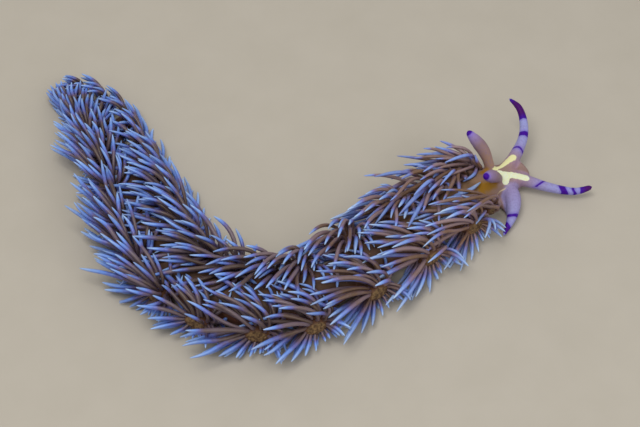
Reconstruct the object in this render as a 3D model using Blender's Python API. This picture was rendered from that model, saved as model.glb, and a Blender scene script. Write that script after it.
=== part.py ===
"""A blue dragon nudibranch at life size, crawling on a level floor in an open S.

The body is one soft, flat-soled tube that tapers to the tail. It is divided into a head and seven
lengths. Paired lobes stand out from its flanks, and each bears a fan of cerata, the finger-like gills,
which lean back towards the tail. The head carries two long oral tentacles, two rhinophores and two
foot tentacles. Sizes are in millimetres, and each mesh is written in metres.
"""

import math
import random

import bmesh
import bpy
import numpy as np
from mathutils import Matrix, Vector

MM = 0.001
GAP = 0.3  # between two nodes that touch in life
SEED = 12
UP = np.array([0.0, 0.0, 1.0])

# The middle of the sole on the floor, from the snout to the tip of the tail: x, y
MIDLINE = (
    (37.7, 24.3), (32.6, 22.4), (26.7, 17.4), (19.0, 11.3), (10.8, 5.1), (3.9, 0.5), (-2.9, -0.1),
    (-9.3, 2.2), (-14.6, 7.4), (-18.6, 15.9), (-23.1, 27.3), (-27.8, 36.9), (-34.7, 43.8),
)

# Distance from the snout, half width, height, and lift of the underside off the floor
BODY_PROFILE = (
    (0.0, 1.0, 2.0, 0.8), (0.7, 1.8, 2.8, 0.4), (1.7, 2.35, 3.3, 0.1), (3.2, 2.7, 3.8, 0.0),
    (5.2, 2.9, 4.2, 0.0), (8.5, 2.7, 4.2, 0.0), (16.0, 3.0, 4.7, 0.0), (40.0, 3.2, 5.0, 0.0),
    (58.0, 3.1, 4.7, 0.0), (78.0, 2.3, 3.4, 0.0), (92.0, 1.5, 2.1, 0.0), (100.0, 0.8, 1.2, 0.0),
    (104.0, 0.3, 0.6, 0.0),
)
SLOPE_REACH = 0.4  # to each side, for the direction of a route
SECTION_SIDES = 16
SECTION_MIDDLE = 0.45  # height of the widest point, as a share of the height
RING_STEP = 2.3
HEAD_RING_STEP = 0.85

# Each length of the body, with where it ends
LENGTHS = (
    ("head", 7.1), ("trunk_1", 15.6), ("trunk_2", 34.4), ("trunk_3", 50.2), ("trunk_4", 63.4),
    ("trunk_5", 76.4), ("tail_1", 89.0), ("tail_2", None),
)

# The ceratal lobes of each side. For each: distance from the snout, its size against a full-grown
# lobe, the length of its cerata the same way, and how far they lean inwards over the back
LOBES_LEFT = (
    (5.8, 0.55, 0.95, -0.6), (9.6, 0.7, 1.0, -0.1), (13.6, 0.85, 1.0, 0.0), (20.2, 1.0, 0.85, 0.2),
    (29.6, 1.0, 0.85, 0.45), (38.8, 1.0, 0.9, 0.4), (46.4, 1.0, 0.95, 0.35), (53.8, 1.0, 1.1, 0.0),
    (60.2, 0.96, 1.1, 0.2), (66.6, 0.92, 1.05, 0.5), (73.0, 0.86, 0.95, 0.75), (79.4, 0.8, 0.85, 0.7),
    (85.6, 0.75, 0.8, 0.65), (91.4, 0.7, 0.7, 0.85), (96.4, 0.6, 0.6, 0.9), (100.4, 0.38, 0.4, 0.9),
)
LOBES_RIGHT = (
    (8.7, 0.68, 1.25, 0.1), (13.2, 0.88, 1.05, 0.0), (21.7, 1.0, 1.0, 0.0), (31.7, 1.0, 0.96, 0.0),
    (41.2, 1.0, 0.86, 0.0), (47.0, 1.0, 0.82, 0.0), (53.8, 1.0, 0.74, 0.0), (60.0, 0.96, 0.85, 0.0),
    (66.0, 0.92, 0.95, -0.2), (73.0, 0.86, 0.84, 0.0), (80.4, 0.8, 0.9, -0.15), (86.0, 0.75, 0.84, -0.25),
    (91.6, 0.7, 0.7, 0.4), (96.4, 0.6, 0.6, 0.6), (100.4, 0.38, 0.38, 0.6),
)
ALL_LOBES = sorted([(sizes, 1) for sizes in LOBES_LEFT] + [(sizes, -1) for sizes in LOBES_RIGHT])
LOBE_REACH = 3.0  # out of the flank
LOBE_SUNK = 1.6
LOBE_MIDDLE = 0.5  # height of the middle of its root, as a share of the body's height
LOBE_LOWEST = 0.2
LOBE_HALF_LENGTH = 2.1  # along the body
LOBE_HALF_HEIGHT = 1.35
LOBE_TILT = math.radians(16)
LOBE_SIDES = 8
LOBE_SHOULDER = 0.9  # from its end to where it begins to round off
LOBE_END_SHARE = 0.72  # size of its flat end, against its full size

# Cerata of a full-grown lobe
CERAS_RADIUS = 0.43
CERAS_MEAN_LENGTH = 6.7
CERAS_LENGTH_SWING = 3.7  # the rear ones are longer by this, and the front ones shorter
CERAS_LONGEST_AT = math.radians(30)
CERAS_UNEVEN = (0.9, 1.08)  # of the length that its place gives
SMALL_LOBE_RADIUS = 0.62  # radius on the smallest lobes, as a share of a full-grown one's
CERAS_SUNK = 0.5
CERAS_SUNK_RIM = 0.45  # its root's place in the lobe, as a share of where it comes out

# Rows of cerata: depth behind the lobe's end, share of its rim, how far they splay, and how many
CERAS_ROWS = ((0.3, 0.78, 0.75, 6), (1.5, 1.0, 0.3, 6))
ROW_STAGGER = 0.5  # of the spacing in a row, from one row to the next
PLACE_UNEVEN = 0.2  # of the same spacing, to each side

# How a ceras leaves its lobe and how it ends, as weights of the lobe's own directions
LEAVES_ROUND = 0.85
LEAVES_BACK = 0.3
LEAVES_INWARD = 0.75
ENDS_ROUND = 0.2
FRONT_ENDS_ROUND = 0.8  # more for those at the front and below, which spread from the lobe like rays
FRONT_ENDS_BACK = 0.45
FRONT_TURN = math.radians(30)
RAYS_OUTWARD = 0.8
RAYS_UPRIGHT = 0.5
ENDS_OUTWARD = 0.45
ENDS_INWARD = 0.85
ENDS_DOWN = 0.16
LOWER_DROOP = 0.25
LEANING_FROM = 55.0  # behind this place both sides lean over the back unequally
LEAN_LEFT = 1.3
LEAN_RIGHT = 0.5
SWEPT_UP_TO = 10.0  # ahead of this place a lobe bears only cerata that sweep back
SWEPT_LEAST = 0.1
TURNED_BY = 0.8  # share of the length at which it has turned fully back
TURN_POWER = 0.8
RIGHT_SHORTER_BELOW = 0.28  # the lowest cerata of the right side, against the upper ones

# The search for a free place for each ceras
CERAS_STEPS = 22
CERAS_TRIES = 60
CERAS_ROOT = 0.16  # share of a ceras in which it may touch its neighbours
LOOSE = 0.08
LOOSER_BY = 0.04  # at each new try
SHORTER_BY = 0.006
LOBES_IN_REACH = 22.0
CLEAR_OF_FLOOR = 0.12
CERAS_HIGHEST = 8.4
CLEAR_OF_OWN = 0.14
CLEAR_OF_OTHERS = 0.36

# Its solid form
CERAS_RINGS = (0.0, 0.42, 0.8)
CERAS_SIDES = 4
CERAS_WAIST = 0.86  # radius at the root, against the widest
LOOK_AHEAD = 0.08

# Routes of the head's organs: x, y, height. The first point lies inside the head.
ORAL_LEFT = (
    (34.7, 24.3, 2.5), (35.9, 25.7, 2.7), (37.1, 27.6, 3.0), (38.2, 30.2, 3.6), (38.4, 32.7, 4.3),
    (37.8, 35.0, 5.0), (36.3, 36.6, 5.4),
)
ORAL_RIGHT = (
    (34.7, 23.7, 2.4), (36.6, 23.3, 2.3), (38.6, 22.8, 2.1), (41.1, 22.1, 1.8), (43.7, 21.6, 1.5),
    (45.9, 21.4, 1.5), (48.2, 21.9, 1.9),
)
RHINO_LEFT = ((33.0, 23.6, 2.6), (32.7, 24.2, 4.1), (31.6, 25.5, 6.4), (29.2, 27.1, 8.8))
RHINO_RIGHT = ((33.9, 22.3, 2.6), (33.8, 21.9, 3.9), (32.9, 20.6, 6.0), (31.4, 18.8, 8.2))
FOOT_LEFT = (
    (34.2, 23.4, 1.0), (33.9, 25.2, 0.95), (32.7, 25.9, 0.85), (31.0, 25.3, 0.7), (29.4, 24.3, 0.55),
    (28.1, 23.1, 0.4),
)
FOOT_RIGHT = (
    (34.8, 23.4, 1.5), (35.8, 21.1, 1.55), (36.15, 19.1, 1.5), (35.75, 16.6, 1.1), (34.4, 13.7, 0.5),
)

# Lobes of the lips: forward of the snout's end, to the left, height of the middle, half sizes the same way
LIPS = (
    (0.1, 0.1, 2.15, (1.15, 1.3, 0.75)),
    (0.1, 0.62, 1.25, (0.85, 0.66, 0.75)),
    (0.1, -0.62, 1.25, (0.85, 0.66, 0.75)),
)

# Share of the route, and radius there. The left foot tentacle is drawn in against the head.
ORAL_TAPER = ((0.0, 1.1), (0.25, 1.0), (0.42, 0.8), (0.65, 0.68), (0.87, 0.52), (1.0, 0.2))
RHINO_TAPER = (
    (0.0, 0.8), (0.3, 0.84), (0.5, 0.97), (0.65, 1.02), (0.8, 0.87), (0.92, 0.6), (1.0, 0.36),
)
FOOT_LEFT_TAPER = ((0.0, 0.8), (0.3, 0.75), (0.6, 0.55), (0.85, 0.36), (1.0, 0.2))
FOOT_RIGHT_TAPER = (
    (0.0, 0.9), (0.15, 1.25), (0.3, 1.38), (0.5, 1.12), (0.75, 0.64), (0.9, 0.4), (1.0, 0.2),
)

# The organs: route, taper, and where each node begins along the route, past the head's stub
ORGANS = {
    "oral_tentacle_left": (ORAL_LEFT, ORAL_TAPER, (3.9, 8.4)),
    "oral_tentacle_right": (ORAL_RIGHT, ORAL_TAPER, (4.9, 9.3)),
    "rhinophore_left": (RHINO_LEFT, RHINO_TAPER, (2.2,)),
    "rhinophore_right": (RHINO_RIGHT, RHINO_TAPER, (2.2,)),
    "foot_tentacle_left": (FOOT_LEFT, FOOT_LEFT_TAPER, (3.3,)),
    "foot_tentacle_right": (FOOT_RIGHT, FOOT_RIGHT_TAPER, (4.1,)),
}
ORGAN_SIDES = 8
ORGAN_RING_STEP = 1.1
ORGAN_LEAST_STEPS = 3
STUB_RINGS = 4
ORGAN_SAMPLES = 30
LIP_SUBDIVISIONS = 2

SKIN = (0.30, 0.16, 0.12)
LAVENDER = (0.50, 0.42, 0.66)
BROWN_BLUE = (0.20, 0.20, 0.46)
SKIN_ROUGHNESS = 0.35
CERAS_ROUGHNESS = 0.3
SHARP_FROM = math.radians(50)


def smooth_through(points, per_span=12):
    """Points on a smooth curve through the points given, as an array."""
    p = np.array(points, float)
    p = np.vstack([2 * p[0] - p[1], p, 2 * p[-1] - p[-2]])
    found = []
    for i in range(1, len(p) - 2):
        before, start, end, after = p[i - 1 : i + 3]
        for t in np.arange(per_span) / per_span:
            found.append(
                start
                + 0.5 * t * (end - before)
                + t * t * (before - 2.5 * start + 2 * end - 0.5 * after)
                + t**3 * (1.5 * (start - end) + 0.5 * (after - before))
            )
    found.append(p[-2])
    return np.array(found)


def unit(v):
    return v / np.linalg.norm(v)


class Midline:
    """The body's midline on the floor, and its cross-section at each distance from the snout."""

    def __init__(self):
        self.points = smooth_through(MIDLINE)
        steps = np.linalg.norm(np.diff(self.points, axis=0), axis=1)
        self.along = np.concatenate([[0.0], np.cumsum(steps)])
        self.length = float(self.along[-1])
        profile = np.array(BODY_PROFILE)
        self.stations = profile[:, 0] * self.length / profile[-1, 0]
        self.profile = profile[:, 1:]

    def at(self, s):
        return np.array([np.interp(s, self.along, self.points[:, i]) for i in (0, 1)])

    def back(self, s):
        """The level direction towards the tail."""
        ahead = self.at(max(s - SLOPE_REACH, 0.0))
        behind = self.at(min(s + SLOPE_REACH, self.length))
        return unit(behind - ahead)

    def left(self, s):
        """The level direction to the animal's left."""
        back = self.back(s)
        return np.array([back[1], -back[0]])

    def size(self, s):
        """Half width, height and lift at s."""
        return [float(np.interp(s, self.stations, self.profile[:, i])) for i in range(3)]

    def ring(self, s):
        """The cross-section at s, counter-clockwise seen from behind."""
        half, height, lift = self.size(s)
        centre, left = self.at(s), self.left(s)
        found = []
        for i in range(SECTION_SIDES):
            a = 2 * math.pi * i / SECTION_SIDES
            across = half * math.cos(a)
            up = height * (SECTION_MIDDLE + (1 - SECTION_MIDDLE) * math.sin(a))
            flat = centre + left * across
            found.append((flat[0], flat[1], max(up, lift)))
        return np.array(found)

    def nearest(self, points):
        """For each point, its distance from the snout and its level distance from the midline."""
        away = np.linalg.norm(points[:, None, :2] - self.points[None], axis=2)
        index = away.argmin(axis=1)
        return self.along[index], away[np.arange(len(points)), index]

    def depth(self, points):
        """How far each point is outside the body: negative inside."""
        s, across = self.nearest(points)
        half = np.interp(s, self.stations, self.profile[:, 0])
        height = np.interp(s, self.stations, self.profile[:, 1])
        middle = SECTION_MIDDLE * height
        up = points[:, 2] - middle
        tall = (1 - SECTION_MIDDLE) * height
        share = np.hypot(across / half, up / tall)
        return (share - 1) * np.minimum(half, tall)


BODY = Midline()


class Tube:
    """A round, tapering tube along a smooth route."""

    def __init__(self, route, taper):
        self.points = smooth_through(route)
        steps = np.linalg.norm(np.diff(self.points, axis=0), axis=1)
        self.along = np.concatenate([[0.0], np.cumsum(steps)])
        self.length = float(self.along[-1])
        self.taper = np.array(taper)

    def at(self, s):
        return np.array([np.interp(s, self.along, self.points[:, i]) for i in range(3)])

    def forward(self, s):
        ahead = self.at(min(s + SLOPE_REACH, self.length))
        return unit(ahead - self.at(max(s - SLOPE_REACH, 0.0)))

    def radius(self, s):
        return float(np.interp(s / self.length, self.taper[:, 0], self.taper[:, 1]))

    def rings(self, start, end, count):
        """Cross-sections from start to end, each turned the same way."""
        found = []
        for s in np.linspace(start, end, count):
            forward = self.forward(s)
            side = unit(np.cross(forward, UP))
            up = np.cross(side, forward)
            angles = [2 * math.pi * (i + 0.5) / ORGAN_SIDES for i in range(ORGAN_SIDES)]
            radius = self.radius(s)
            found.append([self.at(s) + radius * (math.cos(a) * side + math.sin(a) * up) for a in angles])
        return found


def loft(name, rings, tip=None):
    """A closed mesh object through rings that run the same way round, ending in a point if tip is given."""
    mesh = bmesh.new()
    rows = [[mesh.verts.new(Vector(p) * MM) for p in ring] for ring in rings]
    count = len(rows[0])
    for row, after in zip(rows, rows[1:]):
        for i in range(count):
            j = (i + 1) % count
            mesh.faces.new((row[i], row[j], after[j], after[i]))
    mesh.faces.new(rows[0])
    if tip is None:
        mesh.faces.new(rows[-1])
    else:
        end = mesh.verts.new(Vector(tip) * MM)
        for i in range(count):
            mesh.faces.new((rows[-1][i], rows[-1][(i + 1) % count], end))
    bmesh.ops.triangulate(mesh, faces=mesh.faces)
    bmesh.ops.recalc_face_normals(mesh, faces=mesh.faces)
    data = bpy.data.meshes.new(name)
    mesh.to_mesh(data)
    mesh.free()
    made = bpy.data.objects.new(name, data)
    bpy.context.scene.collection.objects.link(made)
    return made


def largest_body(made):
    """Keeps the largest closed surface of a mesh."""
    mesh = bmesh.new()
    mesh.from_mesh(made.data)
    bmesh.ops.triangulate(mesh, faces=mesh.faces)
    unseen, bodies = set(mesh.faces), []
    while unseen:
        stack = [unseen.pop()]
        body = set(stack)
        while stack:
            sound = [edge for edge in stack.pop().edges if len(edge.link_faces) == 2]
            fresh = {face for edge in sound for face in edge.link_faces} & unseen
            unseen -= fresh
            body |= fresh
            stack.extend(fresh)
        bodies.append(body)
    keep = max(bodies, key=len)
    bmesh.ops.delete(mesh, geom=[face for face in mesh.faces if face not in keep], context="FACES")
    mesh.to_mesh(made.data)
    mesh.free()


def join(base, pieces):
    """Fuses the pieces into the base with one Boolean union, and removes them."""
    group = bpy.data.collections.new(base.name + "_pieces")
    bpy.context.scene.collection.children.link(group)
    for piece in pieces:
        bpy.context.scene.collection.objects.unlink(piece)
        group.objects.link(piece)
    union = base.modifiers.new("union", "BOOLEAN")
    union.operation = "UNION"
    union.operand_type = "COLLECTION"
    union.collection = group
    union.solver = "MANIFOLD"
    graph = bpy.context.evaluated_depsgraph_get()
    joined = bpy.data.meshes.new_from_object(base.evaluated_get(graph))
    base.modifiers.clear()
    base.data = joined
    for piece in pieces:
        bpy.data.objects.remove(piece)
    bpy.data.collections.remove(group)
    largest_body(base)


def material(name, colour, roughness):
    made = bpy.data.materials.new(name)
    made.use_nodes = True
    shader = made.node_tree.nodes["Principled BSDF"]
    shader.inputs["Base Color"].default_value = (*colour, 1.0)
    shader.inputs["Roughness"].default_value = roughness
    return made


def paint(made, finish):
    made.data.materials.clear()
    made.data.materials.append(finish)
    made.data.shade_smooth()
    made.data.set_sharp_from_angle(angle=SHARP_FROM)


def length_of_body(name, start, end, step):
    """One length of the body, flat at each end where it meets the next."""
    first = start + GAP / 2 if start > 0 else 0.0
    last = end - GAP / 2 if end < BODY.length else BODY.length
    count = round((last - first) / step)
    stations = [first + (last - first) * i / count for i in range(count + 1)]
    return loft(name, [BODY.ring(s) for s in stations])


class Lobe:
    """A short, thick lobe on the flank that bears one fan of cerata."""

    def __init__(self, s, size, length, lean, side):
        self.s, self.size, self.side = s, size, side
        self.length, self.lean = length, lean
        half, height, _ = BODY.size(s)
        outward = BODY.left(s) * side
        self.outward = np.array([outward[0], outward[1], 0.0])
        self.back = np.array([*BODY.back(s), 0.0])
        self.axis = self.outward * math.cos(LOBE_TILT) + UP * math.sin(LOBE_TILT)
        self.up = UP * math.cos(LOBE_TILT) - self.outward * math.sin(LOBE_TILT)
        self.root = np.array([*BODY.at(s), LOBE_MIDDLE * height]) + self.outward * half
        self.end = self.root + self.axis * LOBE_REACH * size

    def rim(self, angle, depth, share):
        """A point on the lobe's surface, at this angle round its axis from the rear."""
        along = LOBE_HALF_LENGTH * self.size * share * math.cos(angle)
        tall = LOBE_HALF_HEIGHT * self.size * share * math.sin(angle)
        return self.end - self.axis * depth * self.size + self.back * along + self.up * tall

    def ring(self, depth, share):
        angles = [2 * math.pi * i / LOBE_SIDES for i in range(LOBE_SIDES)]
        points = np.array([self.rim(a, depth, share) for a in angles])
        points[:, 2] = np.maximum(points[:, 2], LOBE_LOWEST)
        return points

    def solid(self):
        depths = ((LOBE_REACH + LOBE_SUNK, 1.0), (LOBE_SHOULDER, 1.0), (0.0, LOBE_END_SHARE))
        return loft("lobe", [self.ring(depth, share) for depth, share in depths])

    def apart(self, points):
        """How far each point is from the lobe's surface, taken as a thick line."""
        line = self.end - self.root
        share = np.clip((points - self.root) @ line / (line @ line), 0, 1)
        offset = points - self.root - share[:, None] * line
        along = (offset @ self.back) / LOBE_HALF_LENGTH
        rest = offset - np.outer(offset @ self.back, self.back)
        across = np.linalg.norm(rest, axis=1) / LOBE_HALF_HEIGHT
        return (np.hypot(along, across) - self.size) * LOBE_HALF_HEIGHT


class Ceras:
    """One ceras: a slender finger that leaves its lobe outwards and bends back towards the tail."""

    def __init__(self, lobe, angle, row, draw, trial):
        depth, rim_share, splay, _ = row
        self.lobe = lobe
        radial = lobe.back * math.cos(angle) + lobe.up * math.sin(angle)
        lower = max(0.0, -math.sin(angle))
        inward = (1 - splay) * max(0.0, math.sin(angle))
        if lobe.s > LEANING_FROM:
            inward *= LEAN_LEFT if lobe.side > 0 else LEAN_RIGHT
        leave = lobe.axis * (splay - LEAVES_INWARD * inward)
        leave = leave + radial * LEAVES_ROUND + lobe.back * LEAVES_BACK
        aside = ENDS_OUTWARD * splay + LOWER_DROOP * lower - ENDS_INWARD * inward
        aside -= lobe.lean
        down = ENDS_DOWN + LOWER_DROOP * lower
        front = 0.5 - 0.5 * math.sin(angle + FRONT_TURN)
        ray = lobe.back * math.cos(angle) + lobe.outward * RAYS_OUTWARD * lower
        ray = ray + lobe.up * RAYS_UPRIGHT * math.sin(angle)
        end = lobe.back * (1 - FRONT_ENDS_BACK * front) + lobe.outward * aside - UP * down
        end = end + ray * (ENDS_ROUND + FRONT_ENDS_ROUND * front)
        loose = LOOSE + LOOSER_BY * trial
        leave, end = (unit(way + loose * self.shake(draw)) for way in (leave, end))

        swing = CERAS_LENGTH_SWING * math.cos(angle - CERAS_LONGEST_AT)
        self.length = (CERAS_MEAN_LENGTH + swing) * lobe.length * draw.uniform(*CERAS_UNEVEN)
        below = RIGHT_SHORTER_BELOW * lower if lobe.side < 0 else 0.0
        self.length *= (1 - SHORTER_BY * trial) * (1 - below)
        self.radius = CERAS_RADIUS * (SMALL_LOBE_RADIUS + (1 - SMALL_LOBE_RADIUS) * lobe.size)

        self.share = np.linspace(0, 1, CERAS_STEPS)
        turn = np.clip(self.share / TURNED_BY, 0, 1)[:, None] ** TURN_POWER
        ways = leave * (1 - turn) + end * turn
        ways *= self.length / (CERAS_STEPS - 1) / np.linalg.norm(ways, axis=1)[:, None]
        root = lobe.rim(angle, depth, rim_share)
        self.line = root + np.vstack([np.zeros(3), np.cumsum(ways[:-1], axis=0)])
        self.line[:, 2] = np.maximum(self.line[:, 2], self.radius + CLEAR_OF_FLOOR)
        self.line[0] = lobe.rim(angle, depth + CERAS_SUNK, rim_share * CERAS_SUNK_RIM)

    @staticmethod
    def shake(draw):
        return np.array([draw.uniform(-1, 1) for _ in range(3)])

    def at(self, t):
        return np.array([np.interp(t, self.share, self.line[:, i]) for i in range(3)])

    def solid(self):
        """A four-sided finger with a pointed tip, whose sides run along it without a twist."""
        angles = [2 * math.pi * (i + 0.5) / CERAS_SIDES for i in range(CERAS_SIDES)]
        side = self.lobe.axis
        rings = []
        for t in CERAS_RINGS:
            here = self.at(t)
            way = unit(self.at(t + LOOK_AHEAD) - here)
            side = unit(side - way * (side @ way))
            up = np.cross(side, way)
            radius = self.radius * (CERAS_WAIST + (1 - CERAS_WAIST) * math.sin(math.pi * t))
            rings.append([here + radius * (math.cos(a) * side + math.sin(a) * up) for a in angles])
        return loft("ceras", rings, tip=self.line[-1])


class Thicket:
    """All cerata and organs placed so far, kept clear of each other."""

    def __init__(self, lobes, organs):
        self.lobes = lobes
        self.points = np.empty((0, 3))
        self.radii = np.empty(0)
        self.node_of = np.empty(0, int)
        self.lobe_of = np.empty(0, int)
        for organ in organs:
            places = np.linspace(0, organ.length, ORGAN_SAMPLES)
            line = np.array([organ.at(s) for s in places])
            radii = np.array([organ.radius(s) for s in places])
            self.keep(line, radii, node=-1, lobe=-1)

    def keep(self, line, radii, node, lobe):
        self.points = np.vstack([self.points, line])
        self.radii = np.concatenate([self.radii, radii])
        self.node_of = np.concatenate([self.node_of, np.full(len(line), node)])
        self.lobe_of = np.concatenate([self.lobe_of, np.full(len(line), lobe)])

    def clear(self, ceras, node, number):
        """Whether the ceras is clear of all that is in place."""
        free = ceras.line[1:]
        past_root = ceras.share[1:] > CERAS_ROOT
        if free[:, 2].max() > CERAS_HIGHEST:
            return False
        if (BODY.depth(free[past_root]) < ceras.radius + CLEAR_OF_OTHERS).any():
            return False
        for i, other in enumerate(self.lobes):
            if i == number or abs(other.s - ceras.lobe.s) > LOBES_IN_REACH:
                continue
            room = CLEAR_OF_OWN if other.node == node else CLEAR_OF_OTHERS
            if (other.apart(free) < ceras.radius + room).any():
                return False
        near = np.abs(self.points - free.mean(axis=0)).max(axis=1) < ceras.length
        away = np.linalg.norm(free[:, None] - self.points[near][None], axis=2)
        away -= self.radii[near] + ceras.radius
        short = away < np.where(self.node_of[near] == node, CLEAR_OF_OWN, CLEAR_OF_OTHERS)
        short &= past_root[:, None] | (self.lobe_of[near] != number)
        return not short.any()


def lobes_of(lengths):
    """Every lobe, with the length of body that it grows from."""
    found = [Lobe(*sizes, side) for sizes, side in ALL_LOBES]
    for lobe in found:
        lobe.node = next(i for i, (_, start, end) in enumerate(lengths) if start <= lobe.s < end)
    return found


def grow_cerata(lobes, organs):
    """The cerata of each lobe, placed from the tail forwards, so that each fan lies over the next."""
    draw = random.Random(SEED)
    thicket = Thicket(lobes, organs)
    fans = {}
    for number in reversed(range(len(lobes))):
        lobe = lobes[number]
        fan = []
        for order, row in enumerate(CERAS_ROWS):
            count = row[-1]
            for i in range(count):
                uneven = draw.uniform(-PLACE_UNEVEN, PLACE_UNEVEN)
                angle = 2 * math.pi * (i + ROW_STAGGER * order + uneven) / count
                if lobe.s < SWEPT_UP_TO and math.cos(angle - CERAS_LONGEST_AT) < SWEPT_LEAST:
                    continue
                for trial in range(CERAS_TRIES):
                    ceras = Ceras(lobe, angle, row, draw, trial)
                    if thicket.clear(ceras, lobe.node, number):
                        radii = np.full(CERAS_STEPS - 1, ceras.radius)
                        past = ceras.share[1:] > CERAS_ROOT
                        thicket.keep(ceras.line[1:][past], radii[past], lobe.node, number)
                        fan.append(ceras)
                        break
        fans[number] = fan
    return fans


def organ_nodes(name, tube, cuts, finish):
    """An organ of the head from its stub outwards, in as many lengths as there are cuts."""
    ends = [*cuts, tube.length]
    for i, (start, end) in enumerate(zip(ends, ends[1:])):
        first = start + GAP / 2
        last = end if end == tube.length else end - GAP / 2
        count = 1 + max(ORGAN_LEAST_STEPS, round((last - first) / ORGAN_RING_STEP))
        label = name if len(cuts) == 1 else name + ("_base", "_tip")[i]
        paint(loft(label, tube.rings(first, last, count)), finish)


def stub(tube, cut):
    """The root of an organ, fused to the head and cut square where the organ's node begins."""
    return loft("stub", tube.rings(0.0, cut - GAP / 2, STUB_RINGS))


def lip(forward, left, height, half_sizes):
    """A rounded lobe of the lips. The slit between the lower two is the mouth."""
    ahead, side = -BODY.back(0.0), BODY.left(0.0)
    middle = BODY.at(0.0) + ahead * forward + side * left
    axes = [(*ahead, 0.0), (*side, 0.0), (0.0, 0.0, 1.0)]
    place = Matrix.Identity(4)
    for column, (axis, half) in enumerate(zip(axes, half_sizes)):
        for line in range(3):
            place[line][column] = axis[line] * half * MM
    place.translation = Vector((middle[0], middle[1], height)) * MM
    mesh = bmesh.new()
    bmesh.ops.create_icosphere(mesh, subdivisions=LIP_SUBDIVISIONS, radius=1.0, matrix=place)
    bmesh.ops.recalc_face_normals(mesh, faces=mesh.faces)
    data = bpy.data.meshes.new("lip")
    mesh.to_mesh(data)
    mesh.free()
    made = bpy.data.objects.new("lip", data)
    bpy.context.scene.collection.objects.link(made)
    return made


def main():
    for old in list(bpy.data.objects):
        bpy.data.objects.remove(old)
    skin = material("skin", SKIN, SKIN_ROUGHNESS)
    lavender = material("lavender", LAVENDER, SKIN_ROUGHNESS)
    gills = material("cerata", BROWN_BLUE, CERAS_ROUGHNESS)

    starts = [0.0] + [end for _, end in LENGTHS[:-1]]
    lengths = [
        (name, start, BODY.length if end is None else end)
        for start, (name, end) in zip(starts, LENGTHS)
    ]

    tubes = {name: Tube(route, taper) for name, (route, taper, _) in ORGANS.items()}
    for name, tube in tubes.items():
        organ_nodes(name, tube, ORGANS[name][-1], lavender)

    lobes = lobes_of(lengths)
    fans = grow_cerata(lobes, tubes.values())

    for index, (length, start, end) in enumerate(lengths):
        is_head = length == "head"
        part = length_of_body(length, start, end, HEAD_RING_STEP if is_head else RING_STEP)
        pieces = []
        if is_head:
            pieces = [stub(tube, ORGANS[name][-1][0]) for name, tube in tubes.items()]
            pieces.extend(lip(*sizes) for sizes in LIPS)
        for number, lobe in enumerate(lobes):
            if lobe.node == index:
                pieces.append(lobe.solid())
                pieces.extend(ceras.solid() for ceras in fans[number])
        join(part, pieces)
        paint(part, skin if is_head else gills)


main()
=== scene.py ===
"""The looks of the blue dragon nudibranch: one soft skin, its fans of cerata, floor, light and camera.

Sizes are in millimetres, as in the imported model's own source, and each mesh is written in metres.
"""

import math
import random

import bmesh
import bpy
import numpy as np
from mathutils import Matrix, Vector


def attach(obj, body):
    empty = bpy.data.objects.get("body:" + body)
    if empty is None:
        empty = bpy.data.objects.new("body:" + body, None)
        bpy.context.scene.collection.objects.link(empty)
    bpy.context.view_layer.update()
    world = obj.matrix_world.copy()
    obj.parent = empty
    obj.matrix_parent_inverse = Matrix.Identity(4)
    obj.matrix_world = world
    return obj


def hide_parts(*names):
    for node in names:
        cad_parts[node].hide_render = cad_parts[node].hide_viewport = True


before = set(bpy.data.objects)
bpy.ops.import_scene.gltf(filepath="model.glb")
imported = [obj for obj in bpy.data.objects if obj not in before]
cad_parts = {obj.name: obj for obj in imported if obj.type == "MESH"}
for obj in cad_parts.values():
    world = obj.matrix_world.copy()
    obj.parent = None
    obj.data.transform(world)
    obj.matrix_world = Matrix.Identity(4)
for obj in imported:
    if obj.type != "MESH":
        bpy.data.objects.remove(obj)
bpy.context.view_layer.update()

MM = 0.001
SEED = 23
UP = np.array([0.0, 0.0, 1.0])
NEARLY_UP = np.array([0.01, 0.02, 1.0])  # which no ceras starts along

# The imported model's own shapes

# The middle of the sole on the floor, from the snout to the tip of the tail: x, y
MIDLINE = (
    (37.7, 24.3), (32.6, 22.4), (26.7, 17.4), (19.0, 11.3), (10.8, 5.1), (3.9, 0.5), (-2.9, -0.1),
    (-9.3, 2.2), (-14.6, 7.4), (-18.6, 15.9), (-23.1, 27.3), (-27.8, 36.9), (-34.7, 43.8),
)

# Distance from the snout, half width, height, and lift of the underside off the floor
BODY_PROFILE = (
    (0.0, 1.0, 2.0, 0.8), (0.7, 1.8, 2.8, 0.4), (1.7, 2.35, 3.3, 0.1), (3.2, 2.7, 3.8, 0.0),
    (5.2, 2.9, 4.2, 0.0), (8.5, 2.7, 4.2, 0.0), (16.0, 3.0, 4.7, 0.0), (40.0, 3.2, 5.0, 0.0),
    (58.0, 3.1, 4.7, 0.0), (78.0, 2.3, 3.4, 0.0), (92.0, 1.5, 2.1, 0.0), (100.0, 0.8, 1.2, 0.0),
    (104.0, 0.3, 0.6, 0.0),
)
SLOPE_REACH = 0.4
SECTION_MIDDLE = 0.45  # height of the widest point, as a share of the height

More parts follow.
